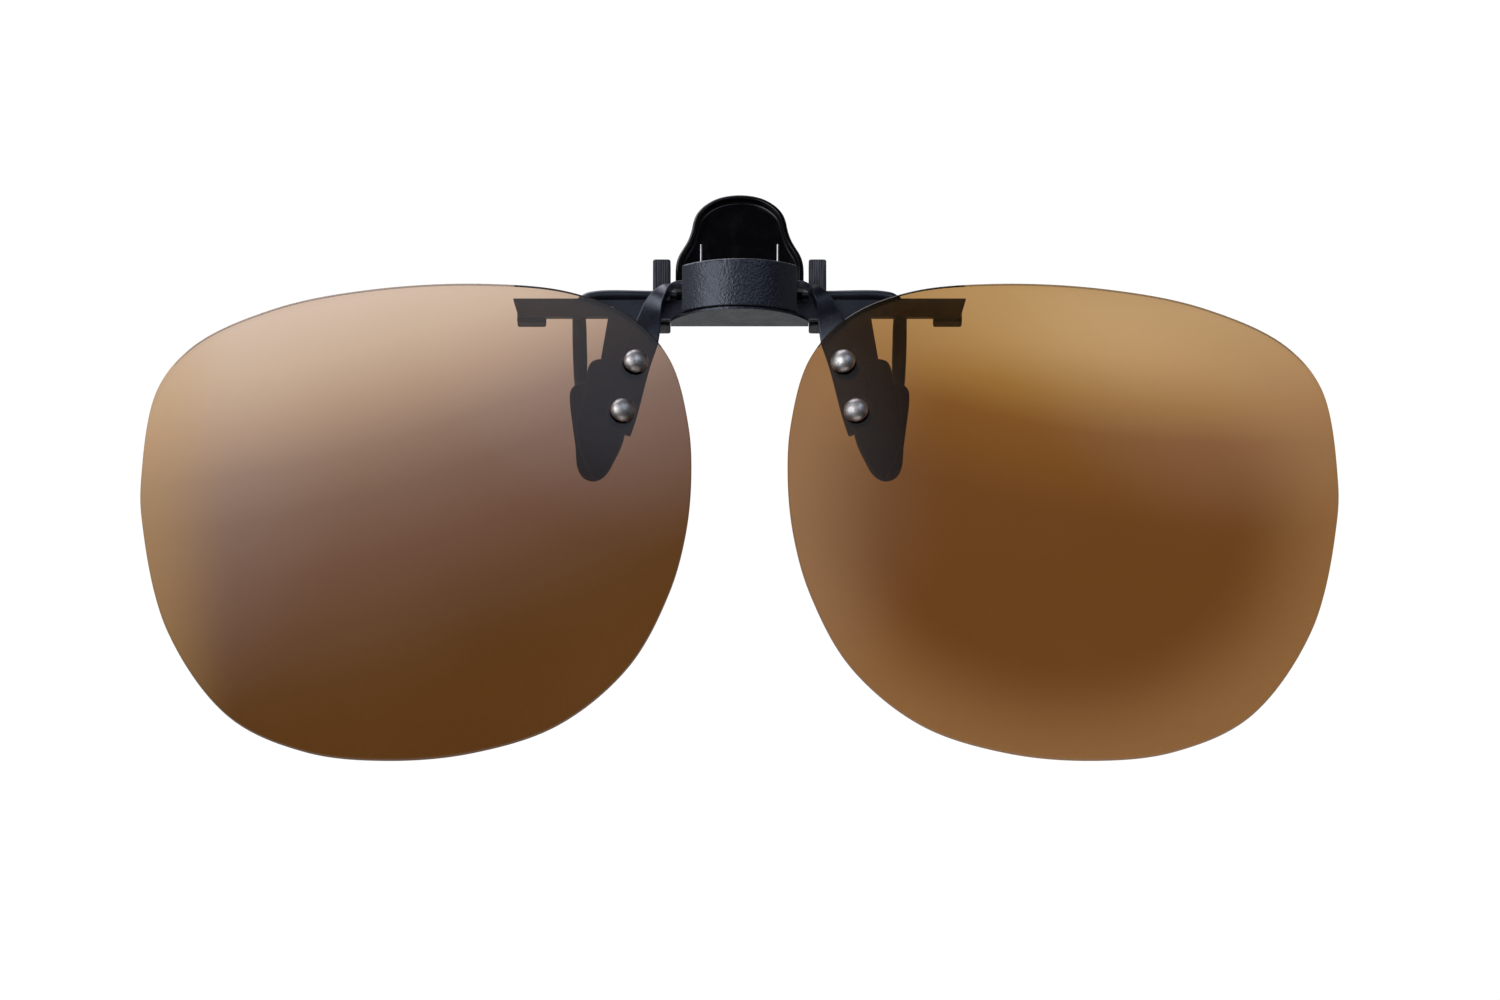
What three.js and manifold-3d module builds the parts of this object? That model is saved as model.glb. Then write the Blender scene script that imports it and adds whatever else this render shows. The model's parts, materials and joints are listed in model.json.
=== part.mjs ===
// Clip-on flip-up tinted lenses: a sprung clip that grips a pair of glasses, with a lens pair on a
// friction hinge. Units are millimetres. +X runs to the right seen from the front, -Y is the front and
// +Z is up. Everything is laid out about the flip axis, which is the X axis of the inner group. The outer
// group puts the origin where the glasses sit: the plane of the front grips' backs, level with the
// underside of the rim rests. Pieces are made on the right-hand side and mirrored.
import * as THREE from "three";
import { mergeVertices } from "three/addons/utils/BufferGeometryUtils.js";
import Module from "manifold-3d";

const wasm = await Module();
wasm.setup();

// Working clearances, and how far a cutting body reaches past what it cuts
const PLAY = 0.05;
const SEAT_GAP = 0.03;
const REACH = 10;

// Lenses: spherical shells with one centre of curvature. The outline is [x, z] from the lens centre.
const LENS_CENTRE_X = 33.5;
const LENS_CENTRE_Z = -26;
const LENS_BASE_RADIUS = 130;
const LENS_THICKNESS = 1.1;
const LENS_BACK_Y = -4;
const LENS_BLANK_RADIUS = 37;
const LENS_OUTLINE = [
  [-6.7, 25.6], [-15.8, 24.9], [-22.1, 22.4], [-26.2, 17.8], [-28.2, 10.5], [-28.5, 4.6], [-27.9, -1.4],
  [-26.2, -7.6], [-22.1, -15.3], [-14.9, -21.5], [-6.1, -24.5], [2.9, -25.3], [11.2, -24.3],
  [19.1, -20.5], [25.6, -11.3], [28.3, -0.1], [28.5, 4.8], [27, 14.5], [23.2, 19.2], [14.8, 23],
  [5, 24.9],
];

// Rivets through lens and arm, as [x, z] on the right side
const LENS_RIVETS = { upper: [11, -8.95], lower: [12.3, -14.4] };
const RIVET_SHANK_RADIUS = 0.6;
const RIVET_HEAD_RADIUS = 1.3;
const RIVET_HEAD_HEIGHT = 0.78;
const WASHER_RADIUS = 1.22;
const FRONT_WASHER_THICKNESS = 0.2;
const REAR_WASHER_THICKNESS = 0.25;
const RIVET_TAIL_RADIUS = 0.85;
const RIVET_TAIL_HEIGHT = 0.3;

// Arms: a flat strip that leaves the hinge edge-on, and twists as it arches down to lie behind the lens.
// at is the middle of the strip, and facing is the way its front face looks.
const ARM_THICKNESS = 0.8;
const ARM_WIDTH = 3.15;
const TONGUE_WIDTH = 1.7;
const ARM_TO_LENS_GAP = 0.1;
const ARM_BEND = [
  { at: [4.1, 0, 0], facing: [0, 0, 1], wide: TONGUE_WIDTH },
  { at: [6.6, 0, 0], facing: [0, 0, 1], wide: TONGUE_WIDTH },
  { at: [7.5, 0, -0.2], facing: [0.1, -0.45, 0.9], wide: 1.65 },
  { at: [8.15, 0, -0.8], facing: [0.15, -0.75, 0.6], wide: 1.65 },
  { at: [8.65, 0, -1.5], facing: [0.1, -0.9, 0.4], wide: 1.8 },
  { at: [9.05, 0.15, -2.35], facing: [0, -0.97, 0.2], wide: 2.15 },
  { at: [9.35, 0.35, -3.3], facing: [-0.1, -0.98, 0.15], wide: 2.45 },
];
const ARM_MEETS_LENS = [10, -5.6];
const ARM_END = [12.85, -16.2];

// Flip axle with two detent flats
const AXLE_RADIUS = 0.95;
const AXLE_HALF_LENGTH = 4.9;
const AXLE_SLOT_X = 4;
const CAM_FLAT = 0.62;
const CAM_HALF_LENGTH = 2.6;

// Detent spring: a bowed leaf between the cap's roof and the cam flat
const LEAF_THICKNESS = 0.17;
const LEAF_HALF_WIDTH = 0.8;
const LEAF_END_X = 4.8;
const LEAF_RAMP_X = [2.45, 1.5];

// Hinge cap: a drum-shaped cover, D-shaped in plan
const CAP_HALF_WIDTH = 6;
const CAP_FRONT_RADIUS = 8.45;
const CAP_FRONT_Y = -4;
const CAP_BACK_Y = 1.3;
const CAP_TOP_Z = 1.95;
const CAP_WALL = 0.8;
const CAP_ROOF = 0.75;
const CAP_ARM_HOLE_RADIUS = 1.12;

// Hinge base: a shelf under the cap, a cradle for the axle and a back wall
const SHELF_TOP_Z = -3.2;
const SHELF_BOTTOM_Z = -3.5;
const SHELF_FRONT_RADIUS = 7.75;
const SHELF_FRONT_Y = -3.68;
const SHELF_HALF_WIDTH = 7.2;
const SHELF_BACK_Y = 3;
const CRADLE_HALF_WIDTH = 5.1;
const CRADLE_FRONT_Y = -1.15;
const CRADLE_TOP_Z = -0.15;
const BACK_WALL_FRONT_Y = 1.02;
const BACK_WALL_TOP_Z = 1.1;

// Front jaw plate: a stamped strip with two legs, and tabs bent back at its ends.
// A leg's edges are [x, z] points from the bar down to its foot.
const JAW_FRONT_Y = 1.4;
const JAW_BACK_Y = 2.2;
const BAR_TOP_Z = -1.1;
const BAR_BOTTOM_Z = -3.1;
const BAR_HALF_LENGTH = 23.7;
const BAR_END_SLANT = 0.6;
const LEG_ROOT_Z = -2.86;
const LEG_INNER_EDGE = [[9.7, LEG_ROOT_Z], [11.4, -6.45], [12.5, -8.5], [13.3, -13]];
const LEG_OUTER_EDGE = [[13.75, LEG_ROOT_Z], [14.65, -8.4], [15.4, -13]];
const LEG_FOOT = { innerX: 13.9, outerX: 15.3, z: -17 };
const TAB_START_X = 20.7;
const TAB_END_X = 23;
const TAB_BACK_Y = 4;
const TAB_TOP_Z = -2.3;
const TAB_BOTTOM_Z = -3.05;

// Pivot bracket: a stamped U behind the jaw plate, whose ears carry the jaw wire
const BRACKET_FRONT_Y = 2.25;
const BRACKET_BACK_Y = 2.85;
const EAR_START_X = 7.65;
const EAR_END_X = 8.65;
const EAR_FRONT_Y = 3.35;
const EAR_BACK_Y = 5.6;
const EAR_TOP_Z = 1.9;
const EAR_BOTTOM_Z = -3.2;
const WEB_HALF_WIDTH = 5.9;
const WEB_TOP_Z = 1.2;
const WING_TOP_Z = -1.5;

// Jaw wire: round where it is the pivot, parallel to X, and flattened where it bends down to a claw
const PIVOT_Y = 4.3;
const PIVOT_Z = 0.15;
const WIRE_DIAMETER = 1.2;
const WIRE_HOLE_RADIUS = 0.66;
const WIRE_ROUTE = [
  { at: [8, PIVOT_Y, PIVOT_Z], wide: WIRE_DIAMETER, thick: WIRE_DIAMETER },
  { at: [15, PIVOT_Y, PIVOT_Z], wide: WIRE_DIAMETER, thick: WIRE_DIAMETER },
  { at: [16.2, 4.35, -0.2], wide: WIRE_DIAMETER, thick: WIRE_DIAMETER },
  { at: [16.8, 4.6, -1.35], wide: 1.35, thick: 1.05 },
  { at: [16.85, 5.6, -3.6], wide: 1.5, thick: 0.95 },
  { at: [16.8, 6.7, -6], wide: 1.5, thick: 0.9 },
  { at: [16.7, 6.2, -8.6], wide: 1.4, thick: 0.9 },
  { at: [16.5, 5.2, -10.8], wide: 1.2, thick: 0.9 },
  { at: [16.2, 4.9, -13.2], wide: 1.1, thick: 0.9 },
  { at: [15.7, 4.9, -17], wide: 1.1, thick: 0.9 },
];

// Thumb lever: a spoon that leans back from the pivot. Its half outline is [x, height above the pivot].
const LEVER_LEAN = THREE.MathUtils.degToRad(22);
const LEVER_HALF_THICKNESS = 0.65;
const LEVER_RIM = 0.55;
const LEVER_FLOOR = 0.55;
const LEVER_FOOT = 0.9;
const LEVER_WINDOW_TOP = 1.5;
const BARREL_RADIUS = 1.3;
const BARREL_INNER_X = 4.6;
const BARREL_OUTER_X = 6.6;
const LEVER_OUTLINE = [
  [6.72, LEVER_FOOT], [6.72, 3.6], [6.6, 4.5], [6.33, 5.35], [5.95, 6.15], [5.55, 7], [5.25, 7.9],
  [5.05, 8.8], [4.88, 9.8], [4.5, 10.9], [3.65, 12], [2.2, 12.95], [0, 13.35],
];

// Double torsion spring on the jaw wire
const SPRING_WIRE = 0.34;
const COIL_RADIUS = 1.05;
const COIL_TURNS = 3;
const COIL_START_X = 2.8;
const COIL_END_X = 4;
const COIL_STEPS_PER_TURN = 10;
const BRIDGE_Z = -2.35;
const BRIDGE_ROUTE = [[1.2, 0, BRIDGE_Z], [2.4, 0, BRIDGE_Z + 0.05], [2.75, 0.05, BRIDGE_Z + 0.65]];
const SPRING_LEG_ON_LEVER = [[4.02, -0.6, 3], [4.05, -0.14, 6.8]];

// Grips: soft sleeves on the ends of the front legs and of the jaw wire
const GRIP_Y = 3.2;
const FRONT_GRIP_FRONT_Y = 0.9;
const REAR_GRIP_FRONT_Y = 3.6;
const REAR_GRIP_BACK_Y = 6.1;
const FRONT_GRIP_OUTLINE = [
  [11.8, -8.2], [12.4, -7.85], [15.1, -7.8], [15.7, -8.3], [16.2, -10.8], [16.8, -13.5],
  [17.1, -15.2], [16.6, -17.5], [16, -19], [15.1, -20.4], [13.9, -19.7], [13.1, -18.3],
  [12.4, -16.8], [12, -15.3], [11.8, -12],
];
const REAR_GRIP_OUTLINE = [
  [15.2, -9.5], [17, -9.6], [17.7, -10.3], [17.8, -11.3], [17.6, -13.1], [17.2, -16.1],
  [17, -18.2], [16.4, -19.3], [15.3, -19.7], [14.2, -19.2], [13.5, -18], [13.3, -16.3], [13.7, -13],
  [14.2, -10.4],
];

// Rim rests: soft caps on the bent tabs, which sit on top of the glasses' rims
const RIM_REST_Z = -3.4;
const RIM_REST_TOP_Z = -1.9;
const RIM_REST_START_X = 20.3;
const RIM_REST_END_X = 23.3;
const RIM_REST_BACK_Y = 4.3;

// Bridge bumpers: soft sleeves on the bracket's ears
const BUMPER_START_X = 7.25;
const BUMPER_END_X = 9.1;
const BUMPER_FRONT_Y = 2.9;
const BUMPER_BACK_Y = 6;
const BUMPER_TOP_Z = 3.85;
const BUMPER_BOTTOM_Z = -3.45;

// Rivets that hold base, jaw plate and bracket together
const PLATE_RIVET_X = 3.9;
const PLATE_RIVET_Z = -2.2;
const PLATE_RIVET_RADIUS = 0.5;
const PLATE_RIVET_HEAD_RADIUS = 0.85;
const PLATE_RIVET_HEAD_HEIGHT = 0.35;
const PLATE_RIVET_START_Y = 0.4;

const MATERIALS = {
  painted_metal: { color: 0x2c303b, roughness: 0.55, metalness: 0.4 },
  black_plastic: { color: 0x050507, roughness: 0.15, metalness: 0 },
  tinted_lens: { color: 0x6d441c, roughness: 0.05, metalness: 0, transparent: true, opacity: 0.7 },
  steel: { color: 0xb4b1ae, roughness: 0.3, metalness: 1 },
  silicone: { color: 0x4a4d57, roughness: 0.6, metalness: 0 },
  nylon: { color: 0x1c1a18, roughness: 0.5, metalness: 0 },
};

// ---------- solids ----------

/** A closed three.js geometry as a solid that can be joined and cut. */
function solidOf(geometry) {
  const bare = geometry.index ? geometry.toNonIndexed() : geometry.clone();
  bare.deleteAttribute("normal");
  bare.deleteAttribute("uv");
  const merged = mergeVertices(bare, 1e-4);
  const vertProperties = merged.attributes.position.array;
  const triVerts = new Uint32Array(merged.index.array);
  return new wasm.Manifold(new wasm.Mesh({ numProp: 3, vertProperties, triVerts }));
}

function geometryOf(solid) {
  const mesh = solid.getMesh();
  const geometry = new THREE.BufferGeometry();
  geometry.setAttribute("position", new THREE.BufferAttribute(mesh.vertProperties, 3));
  geometry.setIndex(new THREE.BufferAttribute(mesh.triVerts, 1));
  geometry.computeVertexNormals();
  return geometry;
}

/** A box between two corners. */
function block([x0, y0, z0], [x1, y1, z1]) {
  const box = new THREE.BoxGeometry(x1 - x0, y1 - y0, z1 - z0);
  return solidOf(box.translate((x0 + x1) / 2, (y0 + y1) / 2, (z0 + z1) / 2));
}

/** A round bar along X. */
function barAlongX(radius, x0, x1, y, z, segments = 24) {
  const bar = new THREE.CylinderGeometry(radius, radius, x1 - x0, segments);
  return solidOf(bar.rotateZ(Math.PI / 2).translate((x0 + x1) / 2, y, z));
}

/** An outline of [x, z] points made into a plate between two depths. */
function uprightPlate(points, frontY, backY) {
  const shape = new THREE.Shape(points.map(([x, z]) => new THREE.Vector2(x, z)));
  const plate = new THREE.ExtrudeGeometry(shape, { depth: backY - frontY, bevelEnabled: false });
  return solidOf(plate.rotateX(Math.PI / 2).translate(0, backY, 0));
}

/** A plan outline of [x, y] points made into a slab between two heights. */
function slab(points, bottomZ, topZ) {
  const shape = new THREE.Shape(points.map(([x, y]) => new THREE.Vector2(x, y)));
  const plate = new THREE.ExtrudeGeometry(shape, { depth: topZ - bottomZ, bevelEnabled: false });
  return solidOf(plate.translate(0, 0, bottomZ));
}

/** A smooth closed curve through [x, z] points. */
function smoothLoop(points, samples) {
  const knots = points.map(([x, z]) => new THREE.Vector3(x, z, 0));
  const curve = new THREE.CatmullRomCurve3(knots, true, "centripetal");
  return curve.getSpacedPoints(samples).slice(0, -1).map((p) => [p.x, p.y]);
}

/** The same points with x turned round, in reverse, so that a half outline can be closed. */
function mirroredBack(points) {
  return points.filter(([x]) => x !== 0).map(([x, z]) => [-x, z]).reverse();
}

/** A plan outline with a round front between two straight sides. */
function dOutline(halfWidth, radius, frontY, backY, steps = 16) {
  const centreY = frontY + radius;
  const halfAngle = Math.asin(halfWidth / radius);
  const outline = [[halfWidth, backY], [-halfWidth, backY]];
  for (let i = 0; i <= steps; i += 1) {
    const angle = -halfAngle + (2 * halfAngle * i) / steps;
    outline.push([radius * Math.sin(angle), centreY - radius * Math.cos(angle)]);
  }
  return outline;
}

/** A closed body through a row of rings, which run counter-clockwise about the direction of travel. */
function loft(rings) {
  const corners = [];
  const triangle = (...points) => points.forEach((p) => corners.push(p.x, p.y, p.z));
  const count = rings[0].length;
  for (let i = 0; i + 1 < rings.length; i += 1) {
    for (let j = 0; j < count; j += 1) {
      const k = (j + 1) % count;
      triangle(rings[i][j], rings[i][k], rings[i + 1][k]);
      triangle(rings[i][j], rings[i + 1][k], rings[i + 1][j]);
    }
  }
  const last = rings[rings.length - 1];
  for (let j = 1; j + 1 < count; j += 1) {
    triangle(rings[0][0], rings[0][j + 1], rings[0][j]);
    triangle(last[0], last[j], last[j + 1]);
  }
  const geometry = new THREE.BufferGeometry();
  geometry.setAttribute("position", new THREE.Float32BufferAttribute(corners, 3));
  return geometry;
}

/**
 * A section swept through stations of { at, facing, wide, thick }.
 * The section is a unit outline of [across, facing] points.
 */
function sweep(stations, section) {
  const rings = stations.map(({ at, facing, wide, thick }, i) => {
    const before = stations[Math.max(i - 1, 0)].at;
    const after = stations[Math.min(i + 1, stations.length - 1)].at;
    const along = after.clone().sub(before).normalize();
    const across = facing.clone().cross(along).normalize();
    const out = along.clone().cross(across);
    return section.map(([u, v]) =>
      at.clone().addScaledVector(across, (u * wide) / 2).addScaledVector(out, (v * thick) / 2));
  });
  return solidOf(loft(rings));
}

function roundSection(sides) {
  return Array.from({ length: sides }, (_, i) => {
    const angle = (2 * Math.PI * (i + 0.5)) / sides;
    return [Math.cos(angle), Math.sin(angle)];
  });
}

/** A flat strip with small chamfers, which start at these shares of its half width and half thickness. */
const CHAMFER_ACROSS = 0.93;
const CHAMFER_OUT = 0.72;
const STRIP_SECTION = [
  [1, -CHAMFER_OUT], [1, CHAMFER_OUT], [CHAMFER_ACROSS, 1], [-CHAMFER_ACROSS, 1],
  [-1, CHAMFER_OUT], [-1, -CHAMFER_OUT], [-CHAMFER_ACROSS, -1], [CHAMFER_ACROSS, -1],
];

/** Stations between hand-placed keys, on a smooth curve, with the other values blended. */
function blendKeys(keys, stepsPerKey) {
  const curve = new THREE.CatmullRomCurve3(keys.map((key) => key.at), false, "centripetal");
  const stations = [];
  for (let i = 0; i <= (keys.length - 1) * stepsPerKey; i += 1) {
    const place = i / stepsPerKey;
    const k = Math.min(Math.floor(place), keys.length - 2);
    const share = place - k;
    const facing = keys[k].facing.clone().lerp(keys[k + 1].facing, share).normalize();
    stations.push({
      at: curve.getPoint(place / (keys.length - 1)),
      facing,
      wide: THREE.MathUtils.lerp(keys[k].wide, keys[k + 1].wide, share),
      thick: THREE.MathUtils.lerp(keys[k].thick, keys[k + 1].thick, share),
    });
  }
  return stations;
}

// ---------- lens frame ----------

const LENS_SPHERE_CENTRE = new THREE.Vector3(
  LENS_CENTRE_X, LENS_BACK_Y + LENS_BASE_RADIUS, LENS_CENTRE_Z);

/** The point in front of the lens centre of curvature, at [x, z] and a given radius. */
function pointOnLens([x, z], radius) {
  const dx = x - LENS_SPHERE_CENTRE.x;
  const dz = z - LENS_SPHERE_CENTRE.z;
  const depth = Math.sqrt(radius * radius - dx * dx - dz * dz);
  return new THREE.Vector3(x, LENS_SPHERE_CENTRE.y - depth, z);
}

function lensNormal(place) {
  return pointOnLens(place, LENS_BASE_RADIUS).sub(LENS_SPHERE_CENTRE).normalize();
}

/** Turns a body made along +Y so that it stands on the back of the lens, +Y towards the front. */
function standOnLens(geometry, place) {
  const turn = new THREE.Quaternion().setFromUnitVectors(new THREE.Vector3(0, 1, 0), lensNormal(place));
  const foot = pointOnLens(place, LENS_BASE_RADIUS);
  return geometry.applyQuaternion(turn).translate(foot.x, foot.y, foot.z);
}

function rivetHole(place, radius) {
  return solidOf(standOnLens(new THREE.CylinderGeometry(radius, radius, REACH, 20), place));
}

function drillForRivets(piece) {
  return Object.values(LENS_RIVETS).reduce(
    (made, place) => made.subtract(rivetHole(place, RIVET_SHANK_RADIUS + PLAY)), piece);
}

/** Points on a sphere about the lens centre of curvature, from the optical axis out to the blank's edge. */
function lensArc(radius, rings = 6) {
  return Array.from({ length: rings + 1 }, (_, i) => {
    const r = (LENS_BLANK_RADIUS * i) / rings;
    return new THREE.Vector2(r, LENS_SPHERE_CENTRE.y - Math.sqrt(radius * radius - r * r));
  });
}

function lens() {
  const profile = [...lensArc(LENS_BASE_RADIUS + LENS_THICKNESS), ...lensArc(LENS_BASE_RADIUS).reverse()];
  const blank = new THREE.LatheGeometry(profile, 44).translate(LENS_CENTRE_X, 0, LENS_CENTRE_Z);
  const outline = smoothLoop(LENS_OUTLINE, 84).map(([x, z]) => [x + LENS_CENTRE_X, z + LENS_CENTRE_Z]);
  return drillForRivets(solidOf(blank).intersect(uprightPlate(outline, -REACH, REACH)));
}

function arm() {
  const behindLens = LENS_BASE_RADIUS - ARM_TO_LENS_GAP - ARM_THICKNESS / 2;
  const bend = ARM_BEND.map(({ at, facing, wide }) => ({
    at: new THREE.Vector3(...at),
    facing: new THREE.Vector3(...facing),
    wide,
    thick: ARM_THICKNESS,
  }));
  const onLens = (place, gap = 0) => ({
    at: pointOnLens(place, behindLens - gap),
    facing: lensNormal(place),
    wide: ARM_WIDTH,
    thick: ARM_THICKNESS,
  });
  const blade = [onLens(LENS_RIVETS.upper), onLens(LENS_RIVETS.lower), onLens(ARM_END)];
  const keys = [...bend, onLens(ARM_MEETS_LENS, 2 * PLAY), ...blade];
  return drillForRivets(sweep(blendKeys(keys, 3), STRIP_SECTION));
}

/** A quarter-ellipse from a dome's edge to its top on the axis. */
function domeProfile(radius, baseY, height, steps = 5) {
  return Array.from({ length: steps + 1 }, (_, i) => {
    const angle = (Math.PI / 2) * (i / steps);
    const r = i === steps ? 0 : radius * Math.cos(angle);
    return new THREE.Vector2(r, baseY + height * Math.sin(angle));
  });
}

/** A ring that closes on itself, between two heights. */
function ring(innerRadius, outerRadius, y0, y1, segments = 20) {
  const corners = [[innerRadius, y0], [outerRadius, y0], [outerRadius, y1], [innerRadius, y1]];
  const profile = [...corners, corners[0]].map(([r, y]) => new THREE.Vector2(r, y));
  return new THREE.LatheGeometry(profile, segments);
}

// Heights along a lens rivet, from the back of the lens towards the front
const HEAD_BASE = LENS_THICKNESS + SEAT_GAP + FRONT_WASHER_THICKNESS + SEAT_GAP;
const ARM_BACK = -(ARM_TO_LENS_GAP + ARM_THICKNESS);
const REAR_WASHER_FRONT = ARM_BACK - 2 * PLAY;
const TAIL_BASE = REAR_WASHER_FRONT - REAR_WASHER_THICKNESS - SEAT_GAP;

function lensRivet(place) {
  const tail = domeProfile(RIVET_TAIL_RADIUS, -TAIL_BASE, RIVET_TAIL_HEIGHT)
    .map((p) => new THREE.Vector2(p.x, -p.y)).reverse();
  const head = domeProfile(RIVET_HEAD_RADIUS, HEAD_BASE, RIVET_HEAD_HEIGHT);
  const shank = [
    new THREE.Vector2(RIVET_SHANK_RADIUS, TAIL_BASE),
    new THREE.Vector2(RIVET_SHANK_RADIUS, HEAD_BASE),
  ];
  return solidOf(standOnLens(new THREE.LatheGeometry([...tail, ...shank, ...head], 20), place));
}

function frontWasher(place) {
  const y0 = LENS_THICKNESS + SEAT_GAP;
  const bore = RIVET_SHANK_RADIUS + PLAY;
  return solidOf(standOnLens(ring(bore, WASHER_RADIUS, y0, y0 + FRONT_WASHER_THICKNESS), place));
}

function rearWasher(place) {
  const y0 = REAR_WASHER_FRONT - REAR_WASHER_THICKNESS;
  const bore = RIVET_SHANK_RADIUS + PLAY;
  return solidOf(standOnLens(ring(bore, WASHER_RADIUS, y0, REAR_WASHER_FRONT), place));
}

function flipAxle() {
  const slotHeight = ARM_THICKNESS / 2 + PLAY;
  const topFlat = block([-CAM_HALF_LENGTH, -REACH, CAM_FLAT], [CAM_HALF_LENGTH, REACH, REACH]);
  const frontFlat = block([-CAM_HALF_LENGTH, -REACH, -REACH], [CAM_HALF_LENGTH, -CAM_FLAT, REACH]);
  const slot = (x0, x1) => block([x0, -REACH, -slotHeight], [x1, REACH, slotHeight]);
  return barAlongX(AXLE_RADIUS, -AXLE_HALF_LENGTH, AXLE_HALF_LENGTH, 0, 0)
    .subtract(topFlat)
    .subtract(frontFlat)
    .subtract(slot(AXLE_SLOT_X, REACH))
    .subtract(slot(-REACH, -AXLE_SLOT_X));
}

// ---------- clip base ----------

function hingeCap() {
  const innerRadius = CAP_FRONT_RADIUS - CAP_WALL;
  const outer = dOutline(CAP_HALF_WIDTH, CAP_FRONT_RADIUS, CAP_FRONT_Y, CAP_BACK_Y);
  const inner = dOutline(CAP_HALF_WIDTH - CAP_WALL, innerRadius, CAP_FRONT_Y + CAP_WALL, REACH);
  return slab(outer, SHELF_TOP_Z + SEAT_GAP, CAP_TOP_Z)
    .subtract(slab(inner, -REACH, CAP_TOP_Z - CAP_ROOF))
    .subtract(barAlongX(CAP_ARM_HOLE_RADIUS, -REACH, REACH, 0, 0));
}

function plateRivetHoles(frontY) {
  const radius = PLATE_RIVET_RADIUS + PLAY;
  const hole = (x) => {
    const bore = new THREE.CylinderGeometry(radius, radius, REACH, 16);
    return solidOf(bore.translate(x, frontY + REACH / 2, PLATE_RIVET_Z));
  };
  return hole(PLATE_RIVET_X).add(hole(-PLATE_RIVET_X));
}

function hingeBase() {
  const plan = dOutline(SHELF_HALF_WIDTH, SHELF_FRONT_RADIUS, SHELF_FRONT_Y, SHELF_BACK_Y);
  const sunk = SHELF_TOP_Z - PLAY;
  const back = JAW_FRONT_Y - PLAY;
  return slab(plan, SHELF_BOTTOM_Z, SHELF_TOP_Z)
    .add(block([-CRADLE_HALF_WIDTH, CRADLE_FRONT_Y, sunk], [CRADLE_HALF_WIDTH, back, CRADLE_TOP_Z]))
    .add(block([-CRADLE_HALF_WIDTH, BACK_WALL_FRONT_Y, sunk], [CRADLE_HALF_WIDTH, back, BACK_WALL_TOP_Z]))
    .subtract(barAlongX(AXLE_RADIUS + PLAY, -REACH, REACH, 0, 0))
    .subtract(plateRivetHoles(PLATE_RIVET_START_Y - PLAY));
}

/** A front leg, from inside the bar to its foot. grow widens it all round, for the grip's pocket. */
function legOutline(grow = 0) {
  const inner = LEG_INNER_EDGE.map(([x, z]) => [x - grow, z]);
  const outer = LEG_OUTER_EDGE.map(([x, z]) => [x + grow, z]).reverse();
  const foot = [[LEG_FOOT.innerX - grow, LEG_FOOT.z - grow], [LEG_FOOT.outerX + grow, LEG_FOOT.z - grow]];
  return [...inner, ...foot, ...outer];
}

function frontJawPlate() {
  const notchX = SHELF_HALF_WIDTH + 2 * PLAY;
  const half = [
    [notchX, SHELF_TOP_Z + PLAY], [notchX, BAR_BOTTOM_Z], [BAR_HALF_LENGTH - BAR_END_SLANT, BAR_BOTTOM_Z],
    [BAR_HALF_LENGTH, BAR_TOP_Z], [WEB_HALF_WIDTH, BAR_TOP_Z], [WEB_HALF_WIDTH, WEB_TOP_Z],
  ];
  const tab = (x0, x1) => block([x0, JAW_FRONT_Y, TAB_BOTTOM_Z], [x1, TAB_BACK_Y, TAB_TOP_Z]);
  return uprightPlate([...half, ...mirroredBack(half)], JAW_FRONT_Y, JAW_BACK_Y)
    .add(uprightPlate(legOutline(), JAW_FRONT_Y, JAW_BACK_Y))
    .add(uprightPlate(mirroredBack(legOutline()), JAW_FRONT_Y, JAW_BACK_Y))
    .add(tab(TAB_START_X, TAB_END_X))
    .add(tab(-TAB_END_X, -TAB_START_X))
    .subtract(plateRivetHoles(0));
}

function pivotBracket() {
  const bottom = SHELF_TOP_Z + PLAY;
  let made = block([-EAR_END_X, BRACKET_FRONT_Y, bottom], [EAR_END_X, BRACKET_BACK_Y, WING_TOP_Z])
    .add(block([-WEB_HALF_WIDTH, BRACKET_FRONT_Y, bottom], [WEB_HALF_WIDTH, BRACKET_BACK_Y, WEB_TOP_Z]));
  for (const side of [-1, 1]) {
    const [x0, x1] = [side * EAR_START_X, side * EAR_END_X].sort((a, b) => a - b);
    made = made
      .add(block([x0, EAR_FRONT_Y, EAR_BOTTOM_Z], [x1, EAR_BACK_Y, EAR_TOP_Z]))
      .add(block([x0, BRACKET_FRONT_Y, bottom], [x1, EAR_BACK_Y, WING_TOP_Z]));
  }
  return made
    .subtract(barAlongX(WIRE_HOLE_RADIUS, -REACH, REACH, PIVOT_Y, PIVOT_Z))
    .subtract(plateRivetHoles(0));
}

/** Right-hand rivet through base, jaw plate and bracket, with its head behind. */
function plateRivet() {
  const shoulder = BRACKET_BACK_Y + SEAT_GAP;
  const profile = [
    new THREE.Vector2(0, PLATE_RIVET_START_Y),
    new THREE.Vector2(PLATE_RIVET_RADIUS, PLATE_RIVET_START_Y),
    new THREE.Vector2(PLATE_RIVET_RADIUS, shoulder),
    ...domeProfile(PLATE_RIVET_HEAD_RADIUS, shoulder, PLATE_RIVET_HEAD_HEIGHT),
  ];
  return solidOf(new THREE.LatheGeometry(profile, 16).translate(PLATE_RIVET_X, 0, PLATE_RIVET_Z));
}

function frontGrip() {
  return uprightPlate(smoothLoop(FRONT_GRIP_OUTLINE, 40), FRONT_GRIP_FRONT_Y, GRIP_Y)
    .subtract(uprightPlate(legOutline(PLAY), JAW_FRONT_Y - PLAY, JAW_BACK_Y + PLAY));
}

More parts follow.
